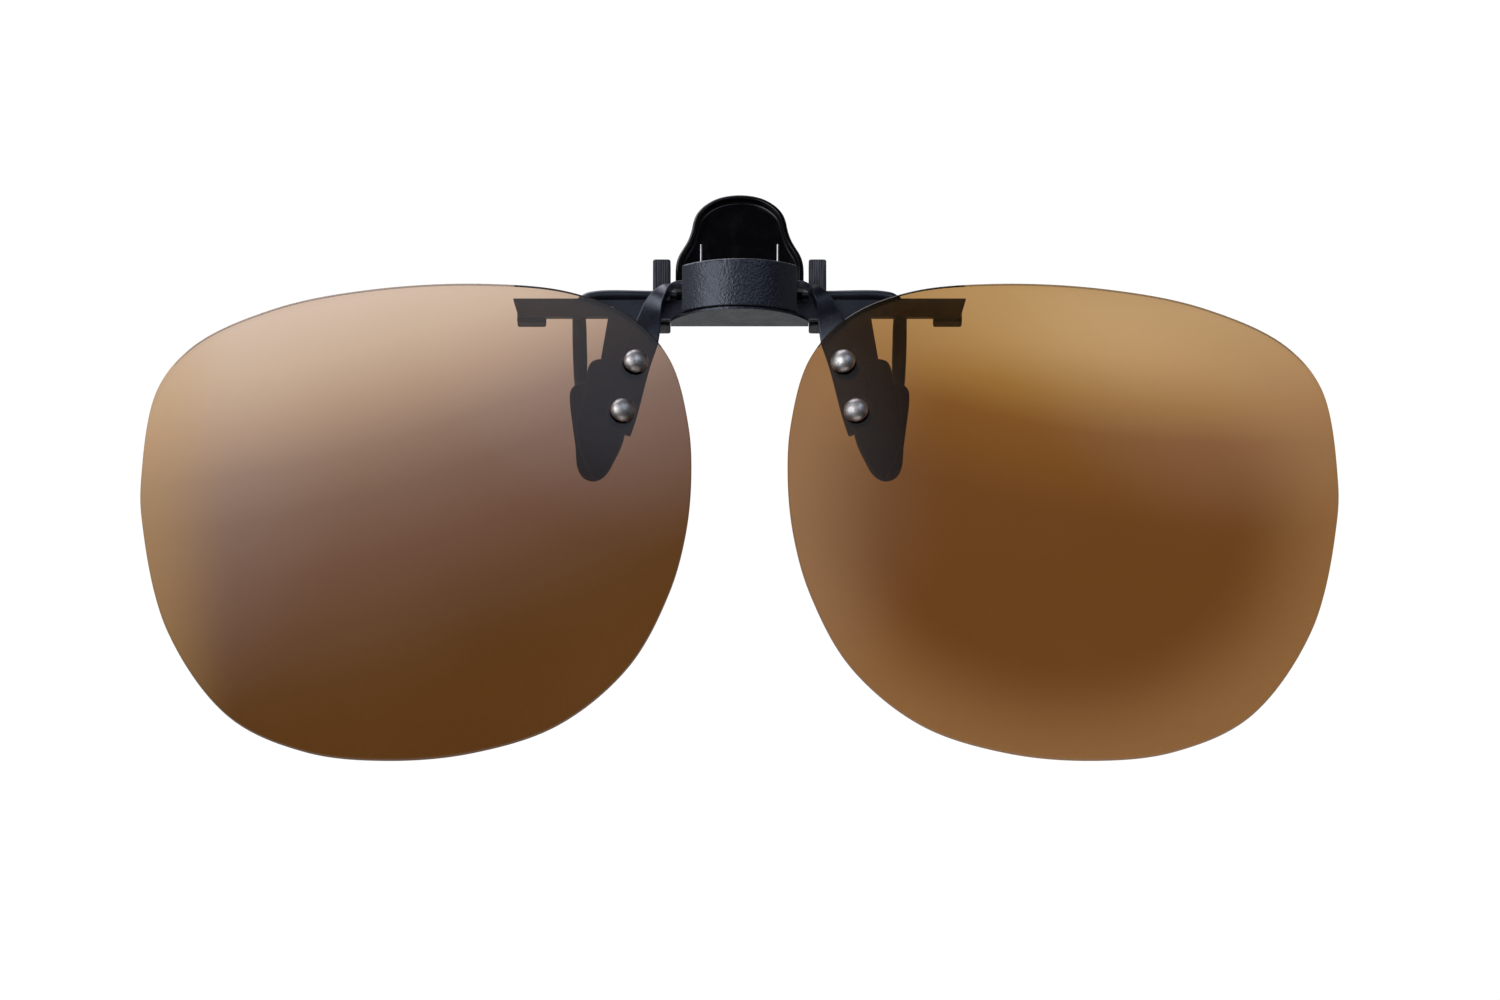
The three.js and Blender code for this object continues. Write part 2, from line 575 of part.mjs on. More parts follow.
function rimRestCap() {
  const front = JAW_BACK_Y + PLAY;
  return block([RIM_REST_START_X, front, RIM_REST_Z], [RIM_REST_END_X, RIM_REST_BACK_Y, RIM_REST_TOP_Z])
    .subtract(block(
      [TAB_START_X - PLAY, 0, TAB_BOTTOM_Z - PLAY],
      [TAB_END_X + PLAY, TAB_BACK_Y + PLAY, TAB_TOP_Z + PLAY]));
}

/** A sleeve pocketed for the ear, and slit in front where the ear joins the bracket's wing. */
function bridgeBumper() {
  const x0 = EAR_START_X - PLAY;
  const x1 = EAR_END_X + PLAY;
  const back = EAR_BACK_Y + PLAY;
  const bottom = EAR_BOTTOM_Z - PLAY;
  return block([BUMPER_START_X, BUMPER_FRONT_Y, BUMPER_BOTTOM_Z], [BUMPER_END_X, BUMPER_BACK_Y, BUMPER_TOP_Z])
    .subtract(block([x0, EAR_FRONT_Y - PLAY, bottom], [x1, back, EAR_TOP_Z + PLAY]))
    .subtract(block([x0, 0, bottom], [x1, back, WING_TOP_Z + PLAY]))
    .subtract(barAlongX(WIRE_HOLE_RADIUS, 0, REACH, PIVOT_Y, PIVOT_Z));
}

/** A bowed leaf over the axle: its ends bear on the cap's roof and its middle on the cam flat. */
function detentSpring() {
  const endZ = CAP_TOP_Z - CAP_ROOF - SEAT_GAP;
  const middleZ = CAM_FLAT + SEAT_GAP + LEAF_THICKNESS;
  const [rampStart, rampEnd] = LEAF_RAMP_X;
  const right = [[LEAF_END_X, endZ], [rampStart, endZ], [rampEnd, middleZ]];
  const top = [...right, ...mirroredBack(right)];
  const underside = top.map(([x, z]) => [x, z - LEAF_THICKNESS]).reverse();
  return uprightPlate([...top, ...underside], -LEAF_HALF_WIDTH, LEAF_HALF_WIDTH);
}

// ---------- rear jaw ----------

/** A place on the lever: n is behind its middle plane and u is up along it. */
function onLever([x, n, u]) {
  const sin = Math.sin(LEVER_LEAN);
  const cos = Math.cos(LEVER_LEAN);
  return new THREE.Vector3(x, PIVOT_Y + n * cos + u * sin, PIVOT_Z - n * sin + u * cos);
}

/** The spoon made upright at the origin, then leaned back and moved to the pivot. */
function spoon() {
  const knots = LEVER_OUTLINE.map(([x, u]) => new THREE.Vector2(x, u));
  const half = new THREE.SplineCurve(knots).getPoints(26).map((p) => [Math.max(p.x, 0), p.y]);
  const topU = half[half.length - 1][1];
  half[half.length - 1] = [0, topU];
  // The rim keeps its width beside the dish, and closes over it only near the top.
  const dish = half.map(([x, u]) => [Math.max(x - LEVER_RIM, 0), u - LEVER_RIM * (u / topU) ** 4]);
  dish[0][1] = 0;
  const floorFront = LEVER_HALF_THICKNESS - LEVER_FLOOR;
  const upright = uprightPlate([...half, ...mirroredBack(half)], -LEVER_HALF_THICKNESS, LEVER_HALF_THICKNESS)
    .subtract(uprightPlate([...dish, ...mirroredBack(dish)], -REACH, floorFront))
    .subtract(block([-BARREL_INNER_X, -REACH, -REACH], [BARREL_INNER_X, REACH, LEVER_WINDOW_TOP]));
  return solidOf(geometryOf(upright).rotateX(-LEVER_LEAN).translate(0, PIVOT_Y, PIVOT_Z));
}

function thumbLever() {
  const barrel = (x0, x1) => barAlongX(BARREL_RADIUS, x0, x1, PIVOT_Y, PIVOT_Z);
  return spoon()
    .add(barrel(BARREL_INNER_X, BARREL_OUTER_X))
    .add(barrel(-BARREL_OUTER_X, -BARREL_INNER_X))
    .subtract(barAlongX(WIRE_DIAMETER / 2 + PLAY, -REACH, REACH, PIVOT_Y, PIVOT_Z));
}

/** The jaw wire: one length across the back, bent down at each end. grow thickens it, to cut a pocket. */
function jawWire(grow = 0) {
  const keyAt = ({ at: [x, y, z], wide, thick }, side) => ({
    at: new THREE.Vector3(side * x, y, z),
    facing: new THREE.Vector3(0, 1, 0),
    wide: wide + 2 * grow,
    thick: thick + 2 * grow,
  });
  const right = WIRE_ROUTE.map((key) => keyAt(key, 1));
  const left = WIRE_ROUTE.map((key) => keyAt(key, -1)).reverse();
  return sweep(blendKeys([...left, ...right], 3), roundSection(10));
}

function rearGrip() {
  return uprightPlate(smoothLoop(REAR_GRIP_OUTLINE, 40), REAR_GRIP_FRONT_Y, REAR_GRIP_BACK_Y)
    .subtract(jawWire(PLAY));
}

/** Right half of the spring's route: the bridge on the bracket, a coil, and a leg up the lever. */
function springRoute() {
  const bridgeY = BRACKET_BACK_Y + SEAT_GAP + SPRING_WIRE / 2;
  const steps = COIL_TURNS * COIL_STEPS_PER_TURN;
  const wound = 2 * Math.PI * COIL_TURNS + LEVER_LEAN;
  const coil = Array.from({ length: steps + 1 }, (_, i) => {
    const angle = (wound * i) / steps;
    const x = THREE.MathUtils.lerp(COIL_START_X, COIL_END_X, i / steps);
    const y = PIVOT_Y - COIL_RADIUS * Math.cos(angle);
    return new THREE.Vector3(x, y, PIVOT_Z + COIL_RADIUS * Math.sin(angle));
  });
  return [
    ...BRIDGE_ROUTE.map(([x, y, z]) => new THREE.Vector3(x, bridgeY + y, z)),
    ...coil,
    ...SPRING_LEG_ON_LEVER.map(onLever),
  ];
}

/** A double torsion spring, one wire with a coil each side. */
function jawSpring() {
  const right = springRoute();
  const route = [...right.map((p) => new THREE.Vector3(-p.x, p.y, p.z)).reverse(), ...right];
  const stations = route.map((at) => ({
    at,
    facing: new THREE.Vector3(1, 0, 0),
    wide: SPRING_WIRE,
    thick: SPRING_WIRE,
  }));
  for (const station of stations) {
    const onBridge = station.at.z < BRIDGE_Z + SPRING_WIRE;
    if (onBridge) station.facing.set(0, 1, 0);
  }
  return sweep(stations, roundSection(6));
}

// ---------- assembly ----------

const clip = new THREE.Group();
clip.position.set(0, -GRIP_Y, -RIM_REST_Z);

function addPiece(name, solid, look, side = 1) {
  const mesh = new THREE.Mesh(geometryOf(solid), new THREE.MeshStandardMaterial(MATERIALS[look]));
  mesh.name = name;
  mesh.scale.x = side;
  clip.add(mesh);
}

/** A right-hand piece and its mirror image. */
function addPair(name, solid, look) {
  addPiece(`${name}_right`, solid, look);
  addPiece(`${name}_left`, solid, look, -1);
}

addPiece("hinge_base", hingeBase(), "painted_metal");
addPiece("hinge_cap", hingeCap(), "painted_metal");
addPiece("front_jaw_plate", frontJawPlate(), "painted_metal");
addPiece("pivot_bracket", pivotBracket(), "painted_metal");
addPair("plate_rivet", plateRivet(), "steel");
addPair("front_grip", frontGrip(), "silicone");
addPair("rim_rest_cap", rimRestCap(), "silicone");
addPair("bridge_bumper", bridgeBumper(), "silicone");
addPiece("detent_spring", detentSpring(), "steel");
addPiece("jaw_spring", jawSpring(), "steel");

addPiece("flip_axle", flipAxle(), "steel");
addPair("lens_arm", arm(), "painted_metal");
addPair("lens", lens(), "tinted_lens");
for (const [level, place] of Object.entries(LENS_RIVETS)) {
  addPair(`lens_rivet_${level}`, lensRivet(place), "steel");
  addPair(`rivet_front_washer_${level}`, frontWasher(place), "nylon");
  addPair(`rivet_rear_washer_${level}`, rearWasher(place), "steel");
}

addPiece("thumb_lever", thumbLever(), "black_plastic");
addPiece("jaw_wire", jawWire(), "painted_metal");
addPair("rear_grip", rearGrip(), "silicone");

const part = new THREE.Group();
part.add(clip);
export default part;
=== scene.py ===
import json
import math

import bmesh
import bpy
import numpy as np
from mathutils import Matrix, Vector


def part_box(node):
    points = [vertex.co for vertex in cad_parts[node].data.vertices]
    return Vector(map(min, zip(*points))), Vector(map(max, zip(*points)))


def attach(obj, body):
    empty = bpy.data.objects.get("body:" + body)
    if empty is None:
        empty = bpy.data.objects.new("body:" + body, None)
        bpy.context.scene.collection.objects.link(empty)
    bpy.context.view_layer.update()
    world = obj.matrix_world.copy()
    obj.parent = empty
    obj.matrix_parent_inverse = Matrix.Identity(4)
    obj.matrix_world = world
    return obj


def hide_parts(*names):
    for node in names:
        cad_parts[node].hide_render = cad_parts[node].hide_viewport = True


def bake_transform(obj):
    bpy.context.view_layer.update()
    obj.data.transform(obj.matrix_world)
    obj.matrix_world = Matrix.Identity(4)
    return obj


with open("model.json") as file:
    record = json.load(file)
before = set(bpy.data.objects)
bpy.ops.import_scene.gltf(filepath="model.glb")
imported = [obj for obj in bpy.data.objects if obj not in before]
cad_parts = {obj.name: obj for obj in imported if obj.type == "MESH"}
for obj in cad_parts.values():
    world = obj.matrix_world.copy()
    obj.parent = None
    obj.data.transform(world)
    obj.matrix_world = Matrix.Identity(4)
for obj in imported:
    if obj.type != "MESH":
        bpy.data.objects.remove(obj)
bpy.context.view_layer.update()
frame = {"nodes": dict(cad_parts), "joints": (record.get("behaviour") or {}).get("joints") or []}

scene = bpy.context.scene

MM = 0.001
JOINTS = {joint["name"]: joint for joint in frame["joints"]}
FLIP_AXIS = Vector(JOINTS["lens_flip"]["pos_m"]) / MM
PIVOT = Vector(JOINTS["jaw_open"]["pos_m"]) / MM - FLIP_AXIS
PLAY = 0.05
REACH = 10  # past everything that a cutter cuts
SWEEP_END = 0.07  # how far a sweep's ends are drawn in, as a share of its section

# Lenses
LENS_RADIUS = 130
LENS_THICKNESS = 1.1
LENS_BACK_Y = -4
LENS_EDGE_BEVEL = 0.13
LENS_EDGE_POINTS = 300
LENS_FACE_RINGS = 25
LENS_FACE_TOLERANCE = 0.004
LENS_SHARP_ANGLE = 25
LENS_CENTRE = (33.5, -26)
LENS_OUTLINE = [
    (-6.7, 25.6), (-15.8, 24.9), (-22.1, 22.4), (-26.2, 17.8), (-28.2, 10.5), (-28.5, 4.6),
    (-27.9, -1.4), (-26.2, -7.6), (-22.1, -15.3), (-14.9, -21.5), (-6.1, -24.5), (2.9, -25.3),
    (11.2, -24.3), (19.1, -20.5), (25.6, -11.3), (28.3, -0.1), (28.5, 4.8), (27, 14.5), (23.2, 19.2),
    (14.8, 23), (5, 24.9),
]
LENS_RIVETS = {"upper": (11, -8.95), "lower": (12.3, -14.4)}

# Lens rivets and their washers, outwards from the back of the lens
SHANK_RADIUS = 0.6
HEAD_RADIUS = 1.3
HEAD_HEIGHT = 0.78
HEAD_BASE = 1.36
TAIL_RADIUS = 0.85
TAIL_HEIGHT = 0.3
TAIL_BASE = -1.28
WASHER_RADIUS = 1.22
FRONT_WASHER = (1.13, 1.33)
REAR_WASHER = (-1.25, -1.0)
RIVET_BORE_REACH = 5

# Arms: (place, the way the front looks, width)
ARM_THICKNESS = 0.8
ARM_WIDTH = 3.15
ARM_GAP = 0.1
ARM_CORNER = 0.16
ARM_BEND = [
    ((4.1, 0, 0), (0, 0, 1), 1.7),
    ((6.6, 0, 0), (0, 0, 1), 1.7),
    ((7.5, 0, -0.2), (0.1, -0.45, 0.9), 1.65),
    ((8.15, 0, -0.8), (0.15, -0.75, 0.6), 1.65),
    ((8.65, 0, -1.5), (0.1, -0.9, 0.4), 1.8),
    ((9.05, 0.15, -2.35), (0, -0.97, 0.2), 2.15),
    ((9.35, 0.35, -3.3), (-0.1, -0.98, 0.15), 2.45),
]
ARM_MEETS_LENS = (10, -5.6)
ARM_END = (12.85, -16.2)

# Hinge cap
CAP_FRONT_RADIUS = 8.45
CAP_WALL = 0.8
CAP_ROOF = 0.75
CAP_FILLET = 0.34
CAP_LOWER_EDGE = 0.1
CAP_CORNER = 0.45
CAP_BACK_CORNER = 0.15
CAP_ARM_HOLE = 1.12

# Front legs, as [x, z] down to the foot
LEG_OUTLINE = [
    (9.7, -2.86), (11.4, -6.45), (12.5, -8.5), (13.3, -13), (13.9, -17),
    (15.3, -17), (15.4, -13), (14.65, -8.4), (13.75, -2.86),
]
JAW_PLATE_DEPTH = (1.4, 2.2)

# Jaw wire: (place, width, thickness) on the right, from the ear round to the claw's end
WIRE = 1.2
WIRE_ROUTE = [
    ((8, PIVOT.y, PIVOT.z), WIRE, WIRE),
    ((15, PIVOT.y, PIVOT.z), WIRE, WIRE),
    ((16.2, 4.35, -0.2), WIRE, WIRE),
    ((16.8, 4.6, -1.35), 1.35, 1.05),
    ((16.85, 5.6, -3.6), 1.5, 0.95),
    ((16.8, 6.7, -6), 1.5, 0.9),
    ((16.7, 6.2, -8.6), 1.4, 0.9),
    ((16.5, 5.2, -10.8), 1.2, 0.9),
    ((16.2, 4.9, -13.2), 1.1, 0.9),
    ((15.7, 4.9, -17), 1.1, 0.9),
]

# Thumb lever: half outline as (x, height above the pivot)
LEVER_LEAN = math.radians(22)
LEVER_OUTLINE = [
    (6.72, 0.9), (6.72, 3.6), (6.6, 4.5), (6.33, 5.35), (5.95, 6.15), (5.55, 7), (5.25, 7.9), (5.05, 8.8),
    (4.88, 9.8), (4.5, 10.9), (3.65, 12), (2.2, 12.95), (0, 13.35),
]
LEVER_HALF_THICKNESS = 0.65
LEVER_EDGE = 0.34
LEVER_RIM = 0.55
LEVER_RIM_EDGE = 0.17
LEVER_FLOOR = 0.55
LEVER_DISH_EDGE = 0.3
LEVER_WINDOW_TOP = 1.5
BARREL_RADIUS = 1.3
BARREL_SPAN = (4.6, 6.6)

# Jaw spring
SPRING_WIRE = 0.34
COIL_RADIUS = 1.05
COIL_TURNS = 3
COIL_STEPS = 34  # in each turn
COIL_SPAN = (2.8, 4)
SPRING_BRIDGE = [(1.2, 3.05, -2.35), (2.4, 3.05, -2.3), (2.75, 3.1, -1.7)]
SPRING_LEG = [(4.02, -0.6, 3), (4.05, -0.14, 6.8)]

# Grips, as [x, z]
FRONT_GRIP_OUTLINE = [
    (11.8, -8.2), (12.4, -7.85), (15.1, -7.8), (15.7, -8.3), (16.2, -10.8), (16.8, -13.5),
    (17.1, -15.2), (16.6, -17.5), (16, -19), (15.1, -20.4), (13.9, -19.7), (13.1, -18.3),
    (12.4, -16.8), (12, -15.3), (11.8, -12),
]
REAR_GRIP_OUTLINE = [
    (15.2, -9.5), (17, -9.6), (17.7, -10.3), (17.8, -11.3), (17.6, -13.1), (17.2, -16.1),
    (17, -18.2), (16.4, -19.3), (15.3, -19.7), (14.2, -19.2), (13.5, -18), (13.3, -16.3), (13.7, -13),
    (14.2, -10.4),
]
GRIP_EDGE = 0.42
RIM_REST_EDGE = 0.22

# Bridge bumpers
BUMPER_CORNER = 0.32
BUMPER_EDGE = 0.16
BUMPER_RIB_PITCH = 0.26
BUMPER_RIB_DEPTH = 0.045
BUMPER_RIB_POINTS = 8
EAR_POCKET = ((7.6, 3.3, -3.25), (8.7, 5.65, 1.95))
EAR_SLIT = ((7.6, 0, -3.25), (8.7, 5.65, -1.45))
EAR_BORE = 0.66


# ---------- curves and outlines ----------

def curve_through(points, steps, closed=False):
    """A smooth curve through points, with that many steps between each two."""
    points = [np.array(p, float) for p in points]
    if closed:
        row = [points[-1], *points, points[0], points[1]]
    else:
        row = [2 * points[0] - points[1], *points, 2 * points[-1] - points[-2]]
    made = []
    for a, b, c, d in zip(row, row[1:], row[2:], row[3:]):
        ab, bc, cd = (math.sqrt(np.linalg.norm(q - p)) for p, q in ((a, b), (b, c), (c, d)))
        out = ((b - a) / ab - (c - a) / (ab + bc) + (c - b) / bc) * bc
        into = ((c - b) / bc - (d - b) / (bc + cd) + (d - c) / cd) * bc
        for i in range(steps):
            s = i / steps
            made.append(b + out * s + (3 * (c - b) - 2 * out - into) * s ** 2
                        + (2 * (b - c) + out + into) * s ** 3)
    if not closed:
        made.append(points[-1])
    return np.array(made)


def evenly(outline, count):
    """A closed outline walked in equal steps."""
    ring = np.vstack([outline, outline[:1]])
    walked = np.concatenate([[0], np.cumsum(np.linalg.norm(np.diff(ring, axis=0), axis=1))])
    stops = np.linspace(0, walked[-1], count, endpoint=False)
    return np.stack([np.interp(stops, walked, ring[:, k]) for k in range(2)], axis=1)


def counter_clockwise(outline):
    outline = np.array(outline, float)
    x, z = outline[:, 0], outline[:, 1]
    area = np.sum(x * np.roll(z, -1) - np.roll(x, -1) * z)
    return outline if area > 0 else outline[::-1]


def smooth_loop(points, count):
    return counter_clockwise(evenly(curve_through(points, 24, closed=True), count))


def inset(outline, distance):
    """A closed counter-clockwise outline moved inwards."""
    on = np.roll(outline, -1, 0) - outline
    on /= np.linalg.norm(on, axis=1, keepdims=True)
    both = on + np.roll(on, 1, 0)
    inwards = np.stack([-on[:, 1], on[:, 0]], axis=1)
    middle = np.stack([-both[:, 1], both[:, 0]], axis=1)
    middle /= np.linalg.norm(middle, axis=1, keepdims=True)
    return outline + middle / np.sum(middle * inwards, axis=1, keepdims=True) * distance


def round_corners(corners, radius, steps=6):
    """A closed polygon with each corner turned into an arc, or kept where its radius is 0."""
    corners = counter_clockwise(corners)
    radii = radius if isinstance(radius, (list, tuple)) else [radius] * len(corners)
    made = []
    for before, here, after, r in zip(np.roll(corners, 1, 0), corners, np.roll(corners, -1, 0), radii):
        if r == 0:
            made.append(here)
            continue
        back = (before - here) / np.linalg.norm(before - here)
        on = (after - here) / np.linalg.norm(after - here)
        half = math.acos(float(np.clip(back @ on, -1, 1))) / 2
        cut = r / math.tan(half)
        centre = here + (back + on) / np.linalg.norm(back + on) * r / math.sin(half)
        start, end = here + back * cut - centre, here + on * cut - centre
        sweep_angle = math.atan2(start[0] * end[1] - start[1] * end[0], start @ end)
        for i in range(steps + 1):
            t = sweep_angle * i / steps
            turned = (start[0] * math.cos(t) - start[1] * math.sin(t),
                      start[0] * math.sin(t) + start[1] * math.cos(t))
            made.append(centre + turned)
    return np.array(made)


def circle(radius, count, at=(0, 0)):
    angles = np.arange(count) * 2 * math.pi / count
    return np.stack([at[0] + radius * np.cos(angles), at[1] + radius * np.sin(angles)], axis=1)


# ---------- meshes ----------

def mesh_object(name, points, faces):
    mesh = bpy.data.meshes.new(name)
    mesh.from_pydata([tuple(p) for p in points], [], faces)
    obj = bpy.data.objects.new(name, mesh)
    scene.collection.objects.link(obj)
    work = bmesh.new()
    work.from_mesh(mesh)
    bmesh.ops.recalc_face_normals(work, faces=work.faces)
    work.to_mesh(mesh)
    work.free()
    return obj


def loft(name, rings, closed=False):
    """A body through a row of rings, with flat ends, or joined end to end where closed."""
    count = len(rings[0])
    rows = len(rings)
    faces = []
    for i in range(rows if closed else rows - 1):
        a, b = i * count, (i + 1) % rows * count
        faces += [(a + j, a + (j + 1) % count, b + (j + 1) % count, b + j) for j in range(count)]
    if not closed:
        faces += [tuple(range(count)), tuple(range((rows - 1) * count, rows * count))]
    return mesh_object(name, np.vstack(rings), faces)


def upright(outline, y):
    """[x, z] points stood up at a depth."""
    return np.stack([outline[:, 0], np.full(len(outline), y), outline[:, 1]], axis=1)


def flat(outline, z):
    """[x, y] points laid down at a height."""
    return np.stack([outline[:, 0], outline[:, 1], np.full(len(outline), z)], axis=1)


def plate(name, outline, low, high, edge=0.0, lay=upright, steps=4, high_edge=None, ripple=0.0):
    """An outline given a thickness, with rounded edges. A ripple draws each point of it inwards."""
    outline = counter_clockwise(outline)
    high_edge = edge if high_edge is None else high_edge
    rings = []
    for radius, start, inwards in ((edge, low, 1), (high_edge, high, -1)):
        angles = np.linspace(0, math.pi / 2, steps + 1) if radius else [math.pi / 2]
        side = [lay(inset(outline, radius * (1 - math.sin(a)) + ripple),
                    start + inwards * radius * (1 - math.cos(a))) for a in angles]
        rings += side if inwards == 1 else side[::-1]
    return loft(name, rings)


def block(name, low, high):
    (x0, y0, z0), (x1, y1, z1) = low, high
    return plate(name, [(x0, z0), (x1, z0), (x1, z1), (x0, z1)], y0, y1)


def lathe(name, profile, steps=48):
    """A profile of (radius, height) turned about +Y. It starts and ends on the axis, or closes on itself."""
    points, faces, rows = [], [], []
    closed = profile[0] == profile[-1]
    for radius, height in profile[:-1] if closed else profile:
        if radius < 1e-6:
            rows.append([len(points)] * steps)
            points.append((0, height, 0))
        else:
            rows.append(list(range(len(points), len(points) + steps)))
            points += [(x, height, z) for x, z in circle(radius, steps)]
    for a, b in zip(rows, rows[1:] + rows[:1] if closed else rows[1:]):
        for j in range(steps):
            k = (j + 1) % steps
            corners = [a[j], a[k], b[k], b[j]]
            faces.append(tuple(dict.fromkeys(corners)))
    return mesh_object(name, points, faces)


def ring_profile(inner, outer, low, high, edge=0.05):
    return [(inner, low), (outer - edge, low), (outer, low + edge), (outer, high - edge),
            (outer - edge, high), (inner, high), (inner, low)]


def bar_along_x(name, radius, x0, x1, y, z, count=40):
    ring = circle(radius, count, (y, z))
    return loft(name, [np.column_stack([np.full(count, x), ring]) for x in (x0, x1)])


def bake(obj):
    """Puts what the object's modifiers make in the place of its mesh."""
    graph = bpy.context.evaluated_depsgraph_get()
    made = bpy.data.meshes.new_from_object(obj.evaluated_get(graph))
    obj.modifiers.clear()
    obj.data = made


def combine(obj, operation, *others):
    for other in others:
        modifier = obj.modifiers.new("combine", "BOOLEAN")
        modifier.operation = operation
        modifier.solver = "MANIFOLD"
        modifier.object = other
        bake(obj)
        bpy.data.objects.remove(other)
    return obj


def cut(obj, *others):
    return combine(obj, "DIFFERENCE", *others)


def join(obj, *others):
    return combine(obj, "UNION", *others)


def tidy_mesh(obj):
    """Welds doubled corners and drops the edges that lie inside flat faces."""
    weld, flat_angle = 2e-4, math.radians(0.5)
    work = bmesh.new()
    work.from_mesh(obj.data)
    bmesh.ops.remove_doubles(work, verts=work.verts, dist=weld)
    bmesh.ops.dissolve_limit(work, angle_limit=flat_angle, verts=work.verts, edges=work.edges)
    bmesh.ops.recalc_face_normals(work, faces=work.faces)
    work.to_mesh(obj.data)
    work.free()
    return obj


def soften(obj, width, segments=3, angle=38):
    """Rounds the edges that are sharper than an angle."""
    modifier = obj.modifiers.new("soften", "BEVEL")
    modifier.width = width
    modifier.segments = segments
    modifier.limit_method = "ANGLE"
    modifier.angle_limit = math.radians(angle)
    bake(obj)
    return obj


def mark_sharp(obj, angle):
    """Smooth shading, broken at the edges that are sharper than an angle."""
    for polygon in obj.data.polygons:
        polygon.use_smooth = True
    work = bmesh.new()
    work.from_mesh(obj.data)
    for edge in work.edges:
        edge.smooth = edge.calc_face_angle(0) < math.radians(angle)
    work.to_mesh(obj.data)
    work.free()


def shade(obj, sharp_angle=42):
    """Smooth shading that keeps flat faces flat and real corners crisp."""
    mark_sharp(obj, sharp_angle)
    modifier = obj.modifiers.new("shade", "WEIGHTED_NORMAL")
    modifier.keep_sharp = True
    bake(obj)
    return obj


def cad_copy(node):
    """A CAD node's shape as a new mesh in millimetres, welded, ready to be rounded."""
    obj = bpy.data.objects.new(node, frame["nodes"][node].data.copy())
    scene.collection.objects.link(obj)
    obj.data.materials.clear()
    obj.data.transform(Matrix.Translation(-FLIP_AXIS) @ Matrix.Scale(1 / MM, 4))
    return tidy_mesh(obj)


def mirrored(obj, name):
    made = bpy.data.objects.new(name, obj.data.copy())
    scene.collection.objects.link(made)
    made.data.transform(Matrix.Scale(-1, 4, (1, 0, 0)))
    made.data.flip_normals()
    return made


def place(obj, body, material, slot_name, *nodes):
    """Puts a finished piece in the frame, riding on its body in the place of its CAD nodes."""
    obj.data.transform(Matrix.Scale(MM, 4) @ Matrix.Translation(FLIP_AXIS))
    obj.data.materials.clear()
    obj.data.materials.append(material)
    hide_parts(*nodes)
    if body:
        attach(obj, body)
    return obj


def place_pair(right, stem, body, material, slot_name):
    left = mirrored(right, f"{stem}_left_piece")
    right.name = f"{stem}_right_piece"
    place(right, body, material, slot_name, f"{stem}_right")
    place(left, body, material, slot_name, f"{stem}_left")


def span(node):
    """A CAD node's lowest and highest corners, in millimetres about the flip axis."""
    low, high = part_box(node)
    return low / MM - FLIP_AXIS, high / MM - FLIP_AXIS


# ---------- sweeps ----------

def unit(v):
    v = np.array(v, float)
    return v / np.linalg.norm(v)


def blend_keys(keys, steps):
    """Stations (place, facing, width, thickness) between keys, on a smooth curve."""
    route = curve_through([key[0] for key in keys], steps)
    facings = np.array([unit(key[1]) for key in keys])
    sizes = np.array([[key[2], key[3]] for key in keys], float)
    made = []
    for i, at in enumerate(route):
        k = min(i // steps, len(keys) - 2)
        s = i / steps - k
        facing = unit(facings[k] * (1 - s) + facings[k + 1] * s)
        wide, thick = sizes[k] * (1 - s) + sizes[k + 1] * s
        made.append((at, facing, wide, thick))
    return made


def strip_section(wide, thick, corner=ARM_CORNER):
    half = [(wide / 2, thick / 2), (-wide / 2, thick / 2), (-wide / 2, -thick / 2), (wide / 2, -thick / 2)]
    return round_corners(half, corner, steps=4)


def round_section(wide, thick, count=20):
    return circle(1, count) * (wide / 2, thick / 2)


def sweep(name, stations, section):
    """A section carried along stations, with its ends drawn in to soften their edges."""
    rings = []
    for i, (at, facing, wide, thick) in enumerate(stations):
        before, after = stations[max(i - 1, 0)][0], stations[min(i + 1, len(stations) - 1)][0]
        along = unit(after - before)
        across = unit(np.cross(facing, along))
        out = np.cross(along, across)

        def ring_at(shift, shrink):
            points = section(wide, thick)
            scale = 1 - 2 * shrink / np.array([wide, thick])
            return [at + along * shift + across * u + out * v for u, v in points * scale]

        end = SWEEP_END * min(wide, thick)
        if i == 0:
            rings += [ring_at(0, end), ring_at(end * 0.3, end * 0.3), ring_at(end, 0)]
        elif i == len(stations) - 1:
            rings += [ring_at(-end, 0), ring_at(-end * 0.3, end * 0.3), ring_at(0, end)]
        else:
            rings.append(ring_at(0, 0))
    return loft(name, [np.array(ring) for ring in rings])


# ---------- materials ----------

